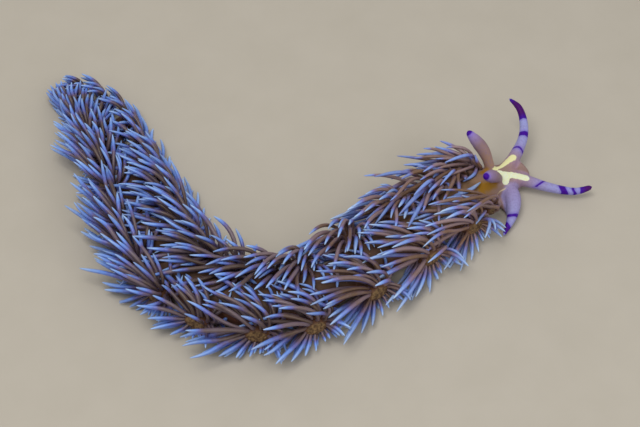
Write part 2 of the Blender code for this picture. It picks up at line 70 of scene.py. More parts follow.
# The ceratal lobes of each side. For each: distance from the snout, its size against a full-grown
# lobe, the length of its cerata the same way, and how far they lean inwards over the back
LOBES_LEFT = (
    (5.8, 0.55, 0.95, -0.6), (9.6, 0.7, 1.0, -0.1), (13.6, 0.85, 1.0, 0.0), (20.2, 1.0, 0.85, 0.2),
    (29.6, 1.0, 0.85, 0.45), (38.8, 1.0, 0.9, 0.4), (46.4, 1.0, 0.95, 0.35), (53.8, 1.0, 1.1, 0.0),
    (60.2, 0.96, 1.1, 0.2), (66.6, 0.92, 1.05, 0.5), (73.0, 0.86, 0.95, 0.75), (79.4, 0.8, 0.8, 0.7),
    (85.6, 0.75, 0.74, 0.65), (91.4, 0.7, 0.63, 0.85), (96.4, 0.6, 0.53, 0.9),
    (100.4, 0.38, 0.4, 0.9),
)
LOBES_RIGHT = (
    (8.7, 0.68, 1.1, 0.1), (13.2, 0.88, 1.0, 0.0), (21.7, 1.0, 1.0, 0.0), (31.7, 1.0, 0.96, 0.0),
    (41.2, 1.0, 0.86, 0.0), (47.0, 1.0, 0.94, 0.0), (53.8, 1.0, 0.74, 0.0), (60.0, 0.96, 0.98, 0.0),
    (66.0, 0.92, 1.05, -0.2), (73.0, 0.86, 0.88, 0.0), (80.4, 0.8, 0.98, -0.3),
    (86.0, 0.75, 0.82, -0.2), (91.6, 0.7, 0.7, 0.4), (96.4, 0.6, 0.6, 0.6), (100.4, 0.38, 0.38, 0.6),
)
ALL_LOBES = sorted([(sizes, 1) for sizes in LOBES_LEFT] + [(sizes, -1) for sizes in LOBES_RIGHT])
LOBE_REACH = 3.0
LOBE_SUNK = 1.6
LOBE_MIDDLE = 0.5  # height of the middle of its root, as a share of the body's height
LOBE_LOWEST = 0.2
LOBE_RINGS = (  # depth from its end, and share of its full size
    (LOBE_REACH + LOBE_SUNK, 0.97), (0.9, 0.97), (0.45, 0.92), (0.2, 0.83), (0.03, 0.68), (-0.06, 0.42),
)
LOBE_SIDES = 20
LOBE_HALF_LENGTH = 2.1
LOBE_HALF_HEIGHT = 1.35
LOBE_TILT = math.radians(16)

# Routes of the head's organs: x, y, height. The first point lies inside the head.
ORAL_LEFT = (
    (34.7, 24.3, 2.5), (35.9, 25.7, 2.7), (37.1, 27.6, 3.0), (38.2, 30.2, 3.6), (38.4, 32.7, 4.3),
    (37.8, 35.0, 5.0), (36.3, 36.6, 5.4),
)
ORAL_RIGHT = (
    (34.7, 23.7, 2.4), (36.6, 23.3, 2.3), (38.6, 22.8, 2.1), (41.1, 22.1, 1.8), (43.7, 21.6, 1.5),
    (45.9, 21.4, 1.5), (48.2, 21.9, 1.9),
)
RHINO_LEFT = ((33.0, 23.6, 2.6), (32.7, 24.2, 4.1), (31.6, 25.5, 6.4), (29.2, 27.1, 8.8))
RHINO_RIGHT = ((33.9, 22.3, 2.6), (33.8, 21.9, 3.9), (32.9, 20.6, 6.0), (31.4, 18.8, 8.2))
FOOT_LEFT = (
    (34.2, 23.4, 1.0), (33.9, 25.2, 0.95), (32.7, 25.9, 0.85), (31.0, 25.3, 0.7), (29.4, 24.3, 0.55),
    (28.1, 23.1, 0.4),
)
FOOT_RIGHT = (
    (34.8, 23.4, 1.5), (35.8, 21.1, 1.55), (36.15, 19.1, 1.5), (35.75, 16.6, 1.1), (34.4, 13.7, 0.5),
)
# Thin webs of skin, as x, y, height and radius along each: one joins the oral tentacles, two the right
# foot tentacle to the head and one the left
WEBS = (
    ((36.6, 26.4, 2.5, 0.5), (37.5, 25.6, 2.3, 0.68), (38.1, 24.7, 2.1, 0.72), (38.6, 23.6, 2.0, 0.6)),
    ((33.3, 21.2, 0.95, 0.9), (34.3, 19.9, 0.9, 0.8), (35.3, 18.7, 0.8, 0.7), (35.6, 17.4, 0.8, 0.5)),
    ((34.2, 21.4, 1.2, 0.9), (35.0, 20.2, 1.2, 0.8), (35.5, 19.2, 1.2, 0.7)),
    ((32.9, 24.0, 0.9, 0.8), (33.0, 24.8, 0.8, 0.7), (32.5, 25.3, 0.7, 0.5)),
)
LIPS = (  # forward of the snout, to its left, height and half sizes of each rounded lobe
    (0.1, 0.1, 2.15, (1.15, 1.3, 0.75)),
    (0.1, 0.62, 1.25, (0.85, 0.66, 0.75)),
    (0.1, -0.62, 1.25, (0.85, 0.66, 0.75)),
)
LIP_SIDES = 16
LIP_RINGS = np.radians(np.linspace(-84, 84, 9))
ORAL_TAPER = ((0.0, 1.1), (0.25, 1.0), (0.42, 0.8), (0.65, 0.68), (0.87, 0.52), (1.0, 0.2))
ORAL_RIGHT_TAPER = (
    (0.0, 1.1), (0.25, 1.0), (0.42, 0.8), (0.65, 0.68), (0.87, 0.53), (0.95, 0.45), (1.0, 0.3),
)
RHINO_TAPER = (
    (0.0, 0.8), (0.3, 0.84), (0.5, 0.97), (0.65, 1.02), (0.8, 0.87), (0.92, 0.6), (1.0, 0.36),
)
FOOT_LEFT_TAPER = ((0.0, 0.8), (0.3, 0.75), (0.6, 0.55), (0.85, 0.36), (1.0, 0.2))
FOOT_RIGHT_TAPER = (
    (0.0, 0.9), (0.15, 1.25), (0.3, 1.38), (0.5, 1.12), (0.75, 0.64), (0.9, 0.4), (1.0, 0.2),
)
ORGANS = {
    "oral_left": (ORAL_LEFT, ORAL_TAPER),
    "oral_right": (ORAL_RIGHT, ORAL_RIGHT_TAPER),
    "rhino_left": (RHINO_LEFT, RHINO_TAPER),
    "rhino_right": (RHINO_RIGHT, RHINO_TAPER),
    "foot_left": (FOOT_LEFT, FOOT_LEFT_TAPER),
    "foot_right": (FOOT_RIGHT, FOOT_RIGHT_TAPER),
}

# How a ceras leaves its lobe and how it ends, as weights of the lobe's own directions
LEAVES_ROUND = 0.85
LEAVES_BACK = 0.3
LEAVES_INWARD = 0.75
ENDS_ROUND = 0.2
FRONT_ENDS_ROUND = 0.8  # more for those at the front and below, which spread from the lobe like rays
FRONT_ENDS_BACK = 0.45
FRONT_TURN = math.radians(30)
RAYS_OUTWARD = 0.8
RAYS_UPRIGHT = 0.5
ENDS_OUTWARD = 0.45
ENDS_INWARD = 0.85
ENDS_DOWN = 0.16
LOWER_DROOP = 0.25
LEANING_FROM = 55.0  # behind this place the two sides lean over the back unequally
LEAN_LEFT = 1.3
LEAN_RIGHT = 0.5
SWEPT_UP_TO = 10.0  # ahead of this place a lobe bears only cerata that sweep back
SWEPT_LEAST = 0.1
TURNED_BY = 0.8
TURN_POWER = 0.8
CERAS_MEAN_LENGTH = 6.7
CERAS_LENGTH_SWING = 3.7
CERAS_LONGEST_AT = math.radians(30)
RIGHT_SHORTER_BELOW = 0.42
RIGHT_FINER_BELOW = 0.16
RIGHT_TURNED_UP = 0.5  # how much less its upper cerata leave outwards, so that the lobe's end shows
TURNED_UP_FROM = (5.0, 15.0)  # from nothing to that much
RIGHT_LONGEST_AT = math.radians(48)
ROOM_OVER_BACK = 1.1  # between the back and the middle of a ceras, as a share of its radius
STRAY_ROOM_OVER_BACK = 0.9

CERATA_PARTS = (("front", 0.0, 43.0), ("middle", 43.0, 70.0), ("rear", 70.0, 110.0))

# The living cerata: more of them, in more rows, and finer than in the solids
CERAS_ROWS = (
    (0.2, 0.8, 0.88, 13), (0.6, 0.95, 0.7, 14), (1.1, 1.0, 0.48, 14), (1.6, 1.0, 0.26, 14),
    (2.2, 1.0, 0.08, 13), (2.8, 1.0, 0.0, 11),
)
CERAS_RADIUS = 0.325
FINER_IN_FRONT = 0.24
CERAS_RADIUS_UNEVEN = (0.85, 1.12)
CERAS_LENGTH_UNEVEN = (0.8, 1.1)
SMALL_LOBE_RADIUS = 0.62
CERAS_SUNK = 0.7
CERAS_SUNK_RIM = 0.6
ROW_STAGGER = 0.5
PLACE_UNEVEN = 0.25
CERAS_STEPS = 20
CERAS_TRIES = 16
SHARES = np.linspace(0, 1, CERAS_STEPS)
PAST_ROOT = SHARES > 0.22  # the part that other cerata and lobes keep clear of
LOOSE = 0.1
LOOSER_BY = 0.02
WAVE = 0.04  # sideways swing of a ceras along its way, as a share of its length
HALF_WAVES = (0.8, 2.0)
SHORTER_BY = 0.008
LOBE_NEAR = 3.5  # beyond a ceras's own length, a lobe is out of its reach
CERAS_HIGHEST = 8.6
CLOSEST = 0.74  # two cerata, as a share of their radii
CLOSEST_TO_BODY = 0.6
CLOSEST_TO_LOBE = 0.3
TUBE_BALLS = 30  # that stand for an organ of the head, where cerata keep clear of it
CERAS_SIDES = 10
CERAS_PROFILE = (
    (0.0, 0.75), (0.1, 0.85), (0.4, 0.98), (0.6, 1.0), (0.72, 0.93), (0.84, 0.74), (0.93, 0.48),
    (0.98, 0.26), (1.0, 0.0),
)
CERAS_RINGS = np.array(
    [0.0, 0.06, 0.13, 0.21, 0.3, 0.39, 0.48, 0.57, 0.66, 0.75, 0.83, 0.89, 0.935, 0.965, 0.987]
)
TIP_FACING_UP_FOR_PAINTED_LIGHT = 0.7  # how far up its tip counts as facing, for the painted light on the cerata's upper sides, where facing straight up is 1

# The round, olive end of a full-grown lobe stays in sight: other fans keep off a line out of its middle
OPEN_LOBE_SIZE = 0.84
OPEN_LENGTH = 3.0
OPEN_RADIUS = 1.15
OPEN_OUTWARD = 0.5
OPEN_UPWARD = 0.85

# The top of the neck, which only single cerata cross
BARE_NECK = ((32.2, 20.6, 4.6), (30.5, 19.6, 4.9), (28.5, 18.5, 5.0), (26.5, 17.4, 5.1))
BARE_NECK_RADIUS = 1.5

# How far along a ceras its blue starts, and how blue its end is
BLUE_FROM = (0.62, 0.78)
BLUE_SOONER_AHEAD = 0.28  # on those that point forwards
BLUE_SOONER_BELOW = 0.54  # on those that point back and down
BLUEST_AT = math.radians(-40)
BLUE_LATER_IN_FRONT = 0.04
BLUE_LATER_FAR = 0.06
BLUE_SOONER_BEHIND = 0.15
BEHIND = (LEANING_FROM, 70.0)  # from nothing to that much
BLUE_LATEST = 0.85
PALE_SHARE = 0.3  # of the cerata next to the head, lavender for most of their length
PALE_FROM = (0.1, 0.3)
PALE_TO = 35.0
DULL_UP_TO = {1: 16.0, -1: 10.0}  # up to this place on each side the ends are lavender
DULL_MOST = {1: 0.4, -1: 0.7}
DULL_LATER = 0.1

# Single cerata at the neck that lie apart from the fans: side, radius, where the blue starts, how blue
# the end is, and the points of the route as x, y, height. The first lies inside the body or its lobe.
STRAYS = (
    (1, 0.29, 0.7, 0.35, (31.5, 24.8, 2.6), (30.4, 24.7, 4.0), (29.0, 25.7, 5.2),
     (27.1, 27.1, 5.4), (25.3, 28.4, 5.0)),
    (1, 0.28, 0.6, 0.45, (31.4, 24.6, 2.6), (30.1, 25.0, 3.8), (28.6, 25.6, 4.8),
     (26.7, 26.4, 5.0), (24.5, 27.8, 4.3)),
    (1, 0.28, 0.65, 0.35, (31.1, 24.7, 2.5), (29.5, 24.9, 3.7), (28.3, 25.8, 4.6),
     (26.4, 26.4, 4.7), (24.0, 26.7, 4.1)),
    (1, 0.3, 0.6, 0.45, (30.8, 24.6, 2.5), (29.0, 24.6, 3.6), (26.7, 25.1, 4.6),
     (24.6, 24.9, 4.4), (22.7, 24.8, 4.0), (20.9, 25.1, 3.4)),
    (1, 0.29, 0.65, 0.4, (30.8, 24.6, 2.4), (28.6, 24.7, 3.2), (26.4, 24.7, 3.8),
     (24.4, 24.8, 3.5), (22.5, 24.9, 3.0)),
    (1, 0.28, 0.7, 0.3, (31.5, 24.6, 2.6), (31.4, 23.9, 4.0), (30.7, 24.1, 5.4),
     (30.4, 24.7, 6.2)),
    (1, 0.28, 0.7, 0.3, (31.4, 24.6, 2.6), (30.9, 24.4, 3.9), (30.0, 24.8, 5.0),
     (29.3, 25.5, 5.6)),
    (1, 0.33, 0.7, 0.35, (29.0, 23.5, 3.2), (28.1, 22.9, 4.9), (27.7, 21.2, 5.4),
     (27.8, 19.0, 5.2), (27.8, 17.6, 4.7)),
    (1, 0.33, 0.65, 0.4, (28.9, 23.5, 3.2), (27.4, 23.1, 4.5), (25.3, 21.4, 5.1),
     (23.6, 19.7, 5.0), (22.4, 17.5, 4.6)),
    (1, 0.33, 0.65, 0.4, (28.9, 22.4, 3.4), (27.2, 20.5, 4.8), (25.5, 18.8, 5.0),
     (23.6, 17.3, 4.9), (21.8, 15.4, 4.5)),
    (1, 0.34, 0.65, 0.45, (26.4, 22.6, 2.6), (24.5, 22.5, 3.4), (22.1, 23.1, 4.0),
     (19.9, 23.1, 3.8), (17.8, 22.3, 3.2)),
    (1, 0.34, 0.65, 0.45, (26.1, 22.5, 2.6), (23.9, 21.8, 3.6), (21.1, 21.7, 4.2),
     (18.5, 20.4, 3.9), (16.8, 19.5, 3.4), (15.1, 18.9, 2.8)),
    (1, 0.34, 0.65, 0.5, (26.3, 21.9, 3.0), (24.1, 21.4, 4.6), (21.1, 18.7, 5.6),
     (18.5, 16.6, 5.8), (16.3, 13.8, 5.4), (14.8, 11.8, 4.8)),
    (-1, 0.36, 0.05, 0.9, (23.6, 16.2, 4.3), (25.1, 16.5, 4.7), (27.6, 17.9, 4.9),
     (29.6, 19.0, 4.9), (31.2, 20.7, 4.6)),
    (-1, 0.37, 0.75, 0.8, (32.8, 17.2, 2.2), (34.0, 17.6, 3.2), (33.1, 17.8, 4.1),
     (30.9, 17.7, 4.7), (28.6, 17.6, 4.9), (26.5, 17.0, 4.9), (24.4, 16.3, 4.7)),
    (-1, 0.38, 0.7, 0.8, (32.7, 16.9, 2.2), (34.0, 17.0, 3.0), (32.4, 16.6, 3.9),
     (29.6, 16.4, 4.6), (27.0, 15.7, 4.9), (24.3, 14.8, 4.9), (22.0, 13.7, 4.8),
     (20.3, 12.9, 4.6)),
    (1, 0.3, 0.6, 0.6, (20.7, 18.7, 3.6), (20.8, 16.8, 4.6), (21.1, 14.8, 4.9), (21.7, 13.3, 4.8)),
    (-1, 0.35, 0.6, 0.8, (32.0, 15.7, 3.0), (29.6, 15.0, 4.2), (26.8, 14.2, 4.6),
     (24.4, 13.7, 4.3)),
)

# The skin
SKIN_INSET = 0.05
SKIN_VOXEL = 0.16
BODY_SIDES = 30
BODY_STEP = 0.5
FIRST_RING = 0.02
ORGAN_SIDES = 18
ORGAN_STEP = 0.3
BLUNTEST_END = 0.04  # square of the least share of its radius to which an organ's end narrows
SKIN_LOWEST = 0.03
SMOOTH_ROUNDS = 9
SMOOTH_IN, SMOOTH_OUT = 0.5, -0.52  # one after the other, so that no volume is lost
FILLET_ROUNDS = 14
AT_ONCE = 20000  # points in one search
LEAST_SHARE = 0.3  # a point this near the middle of the section, or nearer, moves out by no more
ORGAN_SAMPLES = 120
FAR_OFF = 99.0  # for a point that isn't near the organ
LOBE_WINDOW = 5.0  # a point further from a lobe's end isn't on that lobe
NO_MARK = 9.0  # for a point that isn't near a mark
BAR_REACH = 1.6  # out from the organ's line, as a share of its radius
SPOT_SHARE, SPOT_DEPTH, NO_SPOT = 0.72, 0.9, 3.0  # the olive end of a lobe

# Where a point of the skin starts to belong to something, and where it does so fully: distances, or
# shares of its radius or size
ON_ORGAN, PAST_HEAD = (1.5, 1.15), (0.5, 2.0)
ON_LOBE = (1.45, 1.15)
ORGAN_JOIN, ORGAN_JOIN_END = (2.6, 1.8), (4.2, 3.0)
LOBE_JOIN = (3.4, 2.4)
LIP_JOIN = (2.6, 2.0)
ABOVE_SOLE = (0.15, 0.45)


def smooth_through(points, per_span=12):
    """Points on a smooth curve through the points given, as an array."""
    p = np.array(points, float)
    p = np.vstack([2 * p[0] - p[1], p, 2 * p[-1] - p[-2]])
    found = []
    for i in range(1, len(p) - 2):
        before, start, end, after = p[i - 1 : i + 3]
        for t in np.arange(per_span) / per_span:
            found.append(
                start
                + 0.5 * t * (end - before)
                + t * t * (before - 2.5 * start + 2 * end - 0.5 * after)
                + t**3 * (1.5 * (start - end) + 0.5 * (after - before))
            )
    found.append(p[-2])
    return np.array(found)


def unit(v):
    return v / np.linalg.norm(v)


def round_angles(sides):
    return 2 * np.pi * np.arange(sides) / sides


def fade(values, none, full):
    """How far each value is on its way from none to full, from 0 to 1."""
    return np.clip((values - none) / (full - none), 0, 1)


def beside(points, start, line):
    """For each point, its share of the way down a straight line, and its offset from there."""
    share = np.clip((points - start) @ line / (line @ line), 0, 1)
    return share, points - start - share[:, None] * line


class Route:
    """A smooth curve through the points given, and what is at each distance along it."""

    def __init__(self, points):
        self.points = smooth_through(points)
        steps = np.linalg.norm(np.diff(self.points, axis=0), axis=1)
        self.along = np.concatenate([[0.0], np.cumsum(steps)])
        self.length = float(self.along[-1])

    def at(self, s):
        """The point at s, or one for each s of an array."""
        return np.stack([np.interp(s, self.along, axis) for axis in self.points.T], axis=-1)

    def onward(self, s):
        """The direction of the curve at s."""
        start, end = max(s - SLOPE_REACH, 0.0), min(s + SLOPE_REACH, self.length)
        return unit(self.at(end) - self.at(start))


class Midline(Route):
    """The body's midline on the floor, from the snout to the tail, and its cross-sections."""

    def __init__(self):
        super().__init__(MIDLINE)
        profile = np.array(BODY_PROFILE)
        self.stations = profile[:, 0] * self.length / profile[-1, 0]
        self.profile = profile[:, 1:]
        self.lefts = np.array([self.left(a) for a in self.along])

    def left(self, s):
        """The level direction to the animal's left."""
        back = self.onward(s)
        return np.array([back[1], -back[0]])

    def size(self, s):
        """Half width, height and lift at s."""
        return [np.interp(s, self.stations, column) for column in self.profile.T]

    def ring(self, s):
        """The skin's cross-section at s."""
        half, height, lift = self.size(s)
        half -= SKIN_INSET
        height -= SKIN_INSET
        angles = round_angles(BODY_SIDES)
        flat = self.at(s) + half * np.cos(angles)[:, None] * self.left(s)
        up = height * (SECTION_MIDDLE + (1 - SECTION_MIDDLE) * np.sin(angles))
        return np.column_stack([flat, np.maximum(up, lift + SKIN_INSET)])

    def section(self, points):
        """The cross-section that each point is at.

        Given are the number of the midline's nearest point, how far the point is to the left of the
        section's middle and above it, and the section's half width and its height above the middle.
        """
        index = np.concatenate([
            np.linalg.norm(some[:, None] - self.points[None], axis=2).argmin(axis=1)
            for some in np.array_split(points[:, :2], len(points) // AT_ONCE + 1)
        ])
        across = ((points[:, :2] - self.points[index]) * self.lefts[index]).sum(axis=1)
        half, height, _ = self.size(self.along[index])
        rise = points[:, 2] - SECTION_MIDDLE * height
        return index, across, rise, half, (1 - SECTION_MIDDLE) * height

    def cleared(self, points, room):
        """The points, with those on the back moved out of the body by this much room."""
        index, across, rise, half, tall = self.section(points)
        share = np.hypot(across / half, rise / tall)
        wanted = 1 + room / np.minimum(half, tall)
        inside = (share < wanted) & (rise > 0)
        more = np.where(inside, wanted / np.maximum(share, LEAST_SHARE), 1.0) - 1
        moved = points.copy()
        moved[:, :2] += (across * more)[:, None] * self.lefts[index]
        moved[:, 2] += rise * more
        return moved

    def depth(self, points):
        """How far each point is outside the body: negative inside."""
        _, across, rise, half, tall = self.section(points)
        return (np.hypot(across / half, rise / tall) - 1) * np.minimum(half, tall)


BODY = Midline()


class Tube(Route):
    """A round, tapering tube along a smooth route."""

    def __init__(self, route, taper):
        super().__init__(route)
        self.taper = np.array(taper)

    def radius(self, s):
        return np.interp(s / self.length, *self.taper.T)

    def axes(self, s):
        """Onward, to one side and up, at s."""
        onward = self.onward(s)
        side = unit(np.cross(onward, UP))
        return onward, side, np.cross(side, onward)


TUBES = {name: Tube(*sizes) for name, sizes in ORGANS.items()}


class Lobe:
    """A short, thick lobe on the flank that bears one fan of cerata."""

    def __init__(self, s, size, length, lean, side):
        self.s, self.size, self.side = s, size, side
        self.length, self.lean = length, lean
        half, height, _ = BODY.size(s)
        outward = BODY.left(s) * side
        self.outward = np.array([outward[0], outward[1], 0.0])
        self.back = np.array([*BODY.onward(s), 0.0])
        self.axis = self.outward * math.cos(LOBE_TILT) + UP * math.sin(LOBE_TILT)
        self.up = UP * math.cos(LOBE_TILT) - self.outward * math.sin(LOBE_TILT)
        self.root = np.array([*BODY.at(s), LOBE_MIDDLE * height]) + self.outward * half
        self.end = self.root + self.axis * LOBE_REACH * size

    def rim(self, angle, depth, share):
        """A point on the lobe's surface, at this angle round its axis from the rear."""
        along = LOBE_HALF_LENGTH * self.size * share * math.cos(angle)
        tall = LOBE_HALF_HEIGHT * self.size * share * math.sin(angle)
        return self.end - self.axis * depth * self.size + self.back * along + self.up * tall

    def off_window(self, points):
        """How far each point is from the line that leads out of the middle of the lobe's end."""
        line = OPEN_LENGTH * (OPEN_OUTWARD * self.axis + OPEN_UPWARD * UP)
        return np.linalg.norm(beside(points, self.end, line)[1], axis=1)

    def apart(self, points):
        """How far each point is from the lobe's surface, taken as a thick line."""
        _, offset = beside(points, self.root, self.end - self.root)
        along = (offset @ self.back) / LOBE_HALF_LENGTH
        rest = offset - np.outer(offset @ self.back, self.back)
        across = np.linalg.norm(rest, axis=1) / LOBE_HALF_HEIGHT
        return (np.hypot(along, across) - self.size) * LOBE_HALF_HEIGHT


LOBES = [Lobe(*sizes, side) for sizes, side in ALL_LOBES]


# The cerata


class Ceras:
    """One ceras: a slender finger that leaves its lobe outwards and bends back towards the tail."""

    def __init__(self, lobe, angle, row, draw, trial):
        depth, rim_share, splay, _ = row
        self.lobe, self.angle, self.depth = lobe, angle, depth
        upper, lower = max(0.0, math.sin(angle)), max(0.0, -math.sin(angle))
        longest_at = CERAS_LONGEST_AT
        if lobe.side < 0 and lobe.s < LEANING_FROM:
            splay *= 1 - RIGHT_TURNED_UP * upper * fade(lobe.s, *TURNED_UP_FROM)
            longest_at = RIGHT_LONGEST_AT
        loose = LOOSE + LOOSER_BY * trial
        leave, end = (unit(way + loose * shake(draw)) for way in self.ways(splay, upper, lower))

        swing = CERAS_LENGTH_SWING * math.cos(angle - longest_at)
        self.length = (CERAS_MEAN_LENGTH + swing) * lobe.length * draw.uniform(*CERAS_LENGTH_UNEVEN)
        right_lower = lower if lobe.side < 0 else 0.0
        self.length *= (1 - SHORTER_BY * trial) * (1 - RIGHT_SHORTER_BELOW * right_lower)
        self.radius = CERAS_RADIUS * draw.uniform(*CERAS_RADIUS_UNEVEN)
        self.radius *= 1 - RIGHT_FINER_BELOW * right_lower
        self.radius *= SMALL_LOBE_RADIUS + (1 - SMALL_LOBE_RADIUS) * lobe.size
        self.radius *= 1 - FINER_IN_FRONT * (0.5 - 0.5 * math.cos(angle - CERAS_LONGEST_AT))

        self.line = self.bent(leave, end, lobe.rim(angle, depth, rim_share), draw)
        self.line[0] = lobe.rim(angle, depth + CERAS_SUNK, rim_share * CERAS_SUNK_RIM)
        self.colour(draw)
        self.tone = draw.random()

    def ways(self, splay, upper, lower):
        """The directions in which it leaves its lobe and ends."""
        lobe, angle = self.lobe, self.angle
        inward = (1 - splay) * upper
        if lobe.s > LEANING_FROM:
            inward *= LEAN_LEFT if lobe.side > 0 else LEAN_RIGHT
        radial = lobe.back * math.cos(angle) + lobe.up * math.sin(angle)
        leave = lobe.axis * (splay - LEAVES_INWARD * inward)
        leave = leave + radial * LEAVES_ROUND + lobe.back * LEAVES_BACK
        aside = ENDS_OUTWARD * splay + LOWER_DROOP * lower - ENDS_INWARD * inward - lobe.lean
        down = ENDS_DOWN + LOWER_DROOP * lower
        front = 0.5 - 0.5 * math.sin(angle + FRONT_TURN)
        ray = lobe.back * math.cos(angle) + lobe.outward * RAYS_OUTWARD * lower
        ray = ray + lobe.up * RAYS_UPRIGHT * math.sin(angle)
        end = lobe.back * (1 - FRONT_ENDS_BACK * front) + lobe.outward * aside - UP * down
        return leave, end + ray * (ENDS_ROUND + FRONT_ENDS_ROUND * front)

    def bent(self, leave, end, root, draw):
        """Its line from the root, turned from one direction to the other, with a slight wave."""
        turn = np.clip(SHARES / TURNED_BY, 0, 1)[:, None] ** TURN_POWER
        ways = leave * (1 - turn) + end * turn
        ways *= self.length / (CERAS_STEPS - 1) / np.linalg.norm(ways, axis=1)[:, None]
        line = root + np.vstack([np.zeros(3), np.cumsum(ways[:-1], axis=0)])
        swing = WAVE * self.length * shake(draw)
        line += np.sin(math.pi * SHARES * draw.uniform(*HALF_WAVES))[:, None] * swing
        line = BODY.cleared(line, ROOM_OVER_BACK * self.radius)
        line[1:-1] = 0.25 * line[:-2] + 0.5 * line[1:-1] + 0.25 * line[2:]
        line[:, 2] = np.maximum(line[:, 2], self.radius)
        return line

    def colour(self, draw):
        """Where its blue starts, and how blue its end is."""
        lobe, angle = self.lobe, self.angle
        near_head = max(0.0, 1 - lobe.s / PALE_TO)
        self.blue_from = draw.uniform(*BLUE_FROM) - BLUE_SOONER_AHEAD * max(0.0, -math.cos(angle))
        self.blue_from -= BLUE_SOONER_BELOW * max(0.0, math.cos(angle - BLUEST_AT))
        self.blue_from += (BLUE_LATER_IN_FRONT + BLUE_LATER_FAR * (lobe.side > 0)) * near_head
        self.blue_from -= BLUE_SOONER_BEHIND * fade(lobe.s, *BEHIND)
        if draw.random() < PALE_SHARE * near_head:
            self.blue_from = draw.uniform(*PALE_FROM)
        self.blue_most = 1.0
        if lobe.s < DULL_UP_TO[lobe.side]:
            self.blue_from = min(self.blue_from + DULL_LATER, BLUE_LATEST)
            self.blue_most = DULL_MOST[lobe.side]


class Stray:
    """A single ceras along a route of its own."""

    def __init__(self, side, radius, blue_from, blue_most, *route, tone):
        self.radius, self.blue_from, self.blue_most, self.tone = radius, blue_from, blue_most, tone
        route = Route(route)
        self.line = route.at(SHARES * route.length)
        self.line[PAST_ROOT] = BODY.cleared(self.line[PAST_ROOT], STRAY_ROOM_OVER_BACK * radius)
        self.lobe = min(
            (lobe for lobe in LOBES if lobe.side == side),
            key=lambda lobe: np.linalg.norm(lobe.end - self.line[0]),
        )
        self.angle = self.depth = 0.0


def shake(draw):
    return np.array([draw.uniform(-1, 1) for _ in range(3)])


class Thicket:
    """All cerata placed so far."""

    def __init__(self):
        self.points = np.empty((0, 3))
        self.radii = np.empty(0)
        for tube in TUBES.values():
            places = np.linspace(0, tube.length, TUBE_BALLS)
            self.keep(tube.at(places), tube.radius(places))
        bare = smooth_through(BARE_NECK)
        self.keep(bare, BARE_NECK_RADIUS)

    def keep(self, line, radii):
        """Takes in the line's points, with one radius for all or one for each."""
        self.points = np.vstack([self.points, line])
        self.radii = np.append(self.radii, np.zeros(len(line)) + radii)

    def clear(self, ceras):
        """Whether the ceras is clear of the body, the other lobes and the cerata in place."""
        free = ceras.line[PAST_ROOT]
        if free[:, 2].max() > CERAS_HIGHEST:
            return False
        if (BODY.depth(free) < CLOSEST_TO_BODY * ceras.radius).any():
            return False
        reach = ceras.length + LOBE_NEAR
        for other in LOBES:
            if other is ceras.lobe or np.linalg.norm(other.end - ceras.line[0]) > reach:
                continue
            if (other.apart(free) < CLOSEST_TO_LOBE * ceras.radius).any():
                return False
            if other.size <= OPEN_LOBE_SIZE:
                continue
            if (other.off_window(free) < OPEN_RADIUS + ceras.radius).any():
                return False
        near = np.abs(self.points - free.mean(axis=0)).max(axis=1) < ceras.length
        away = np.linalg.norm(free[:, None] - self.points[near][None], axis=2)
        return not (away < CLOSEST * (self.radii[near] + ceras.radius)).any()


def grow_cerata():
    """The cerata of each lobe, placed from the tail forwards, so that each fan lies over the next."""
    draw = random.Random(SEED)
    thicket = Thicket()
    fans = {1: [], -1: []}
    for sizes in STRAYS:
        stray = Stray(*sizes, tone=draw.random())
        thicket.keep(stray.line, stray.radius)
        fans[stray.lobe.side].append(stray)
    for lobe in reversed(LOBES):
        for order, row in enumerate(CERAS_ROWS):
            count = row[-1]
            for i in range(count):
                uneven = draw.uniform(-PLACE_UNEVEN, PLACE_UNEVEN)
                angle = 2 * math.pi * (i + ROW_STAGGER * order + uneven) / count
                if lobe.s < SWEPT_UP_TO and math.cos(angle - CERAS_LONGEST_AT) < SWEPT_LEAST:
                    continue
                for trial in range(CERAS_TRIES):
                    ceras = Ceras(lobe, angle, row, draw, trial)
                    if thicket.clear(ceras):
                        thicket.keep(ceras.line[PAST_ROOT], ceras.radius)
                        fans[lobe.side].append(ceras)
                        break
    return fans


def turned_frames(line):
    """Two directions across the line at each of its points, carried along it without a twist."""
    ways = np.gradient(line, axis=0)
    ways /= np.linalg.norm(ways, axis=1)[:, None]
    side = unit(np.cross(ways[0], NEARLY_UP))
    sides = []
    for way in ways:
        side = unit(side - way * (side @ way))
        sides.append(side)
    sides = np.array(sides)
    return sides, np.cross(ways, sides)


def ceras_rings(ceras):
    """Rings of points down one ceras, and how far up each point's side of it faces, for its painted
    light and shade.
    """
    line = np.column_stack([np.interp(CERAS_RINGS, SHARES, axis) for axis in ceras.line.T])
    radii = ceras.radius * np.interp(CERAS_RINGS, *np.transpose(CERAS_PROFILE))
    sides, ups = turned_frames(line)
    angles = round_angles(CERAS_SIDES)[None, :, None]
    ring = np.cos(angles) * sides[:, None] + np.sin(angles) * ups[:, None]
    return line[:, None] + radii[:, None, None] * ring, (ring @ UP).ravel()


def ceras_faces():
    """Faces of a ceras, as the numbers of their points, and where each corner is on its own strip."""
    faces, corners = [], []
    sides = CERAS_SIDES
    for row, (low, high) in enumerate(zip(CERAS_RINGS, (*CERAS_RINGS[1:], 1.0))):
        for i in range(sides):
            a, b = row * sides + i, row * sides + (i + 1) % sides
            if high < 1:
                faces.append((a, b, b + sides, a + sides))
                corners.extend([(i, low), (i + 1, low), (i + 1, high), (i, high)])
            else:
                faces.append((a, b, (row + 1) * sides))
                corners.extend([(i, low), (i + 1, low), (i + 0.5, high)])
    return faces, np.array(corners) / (sides, 1)


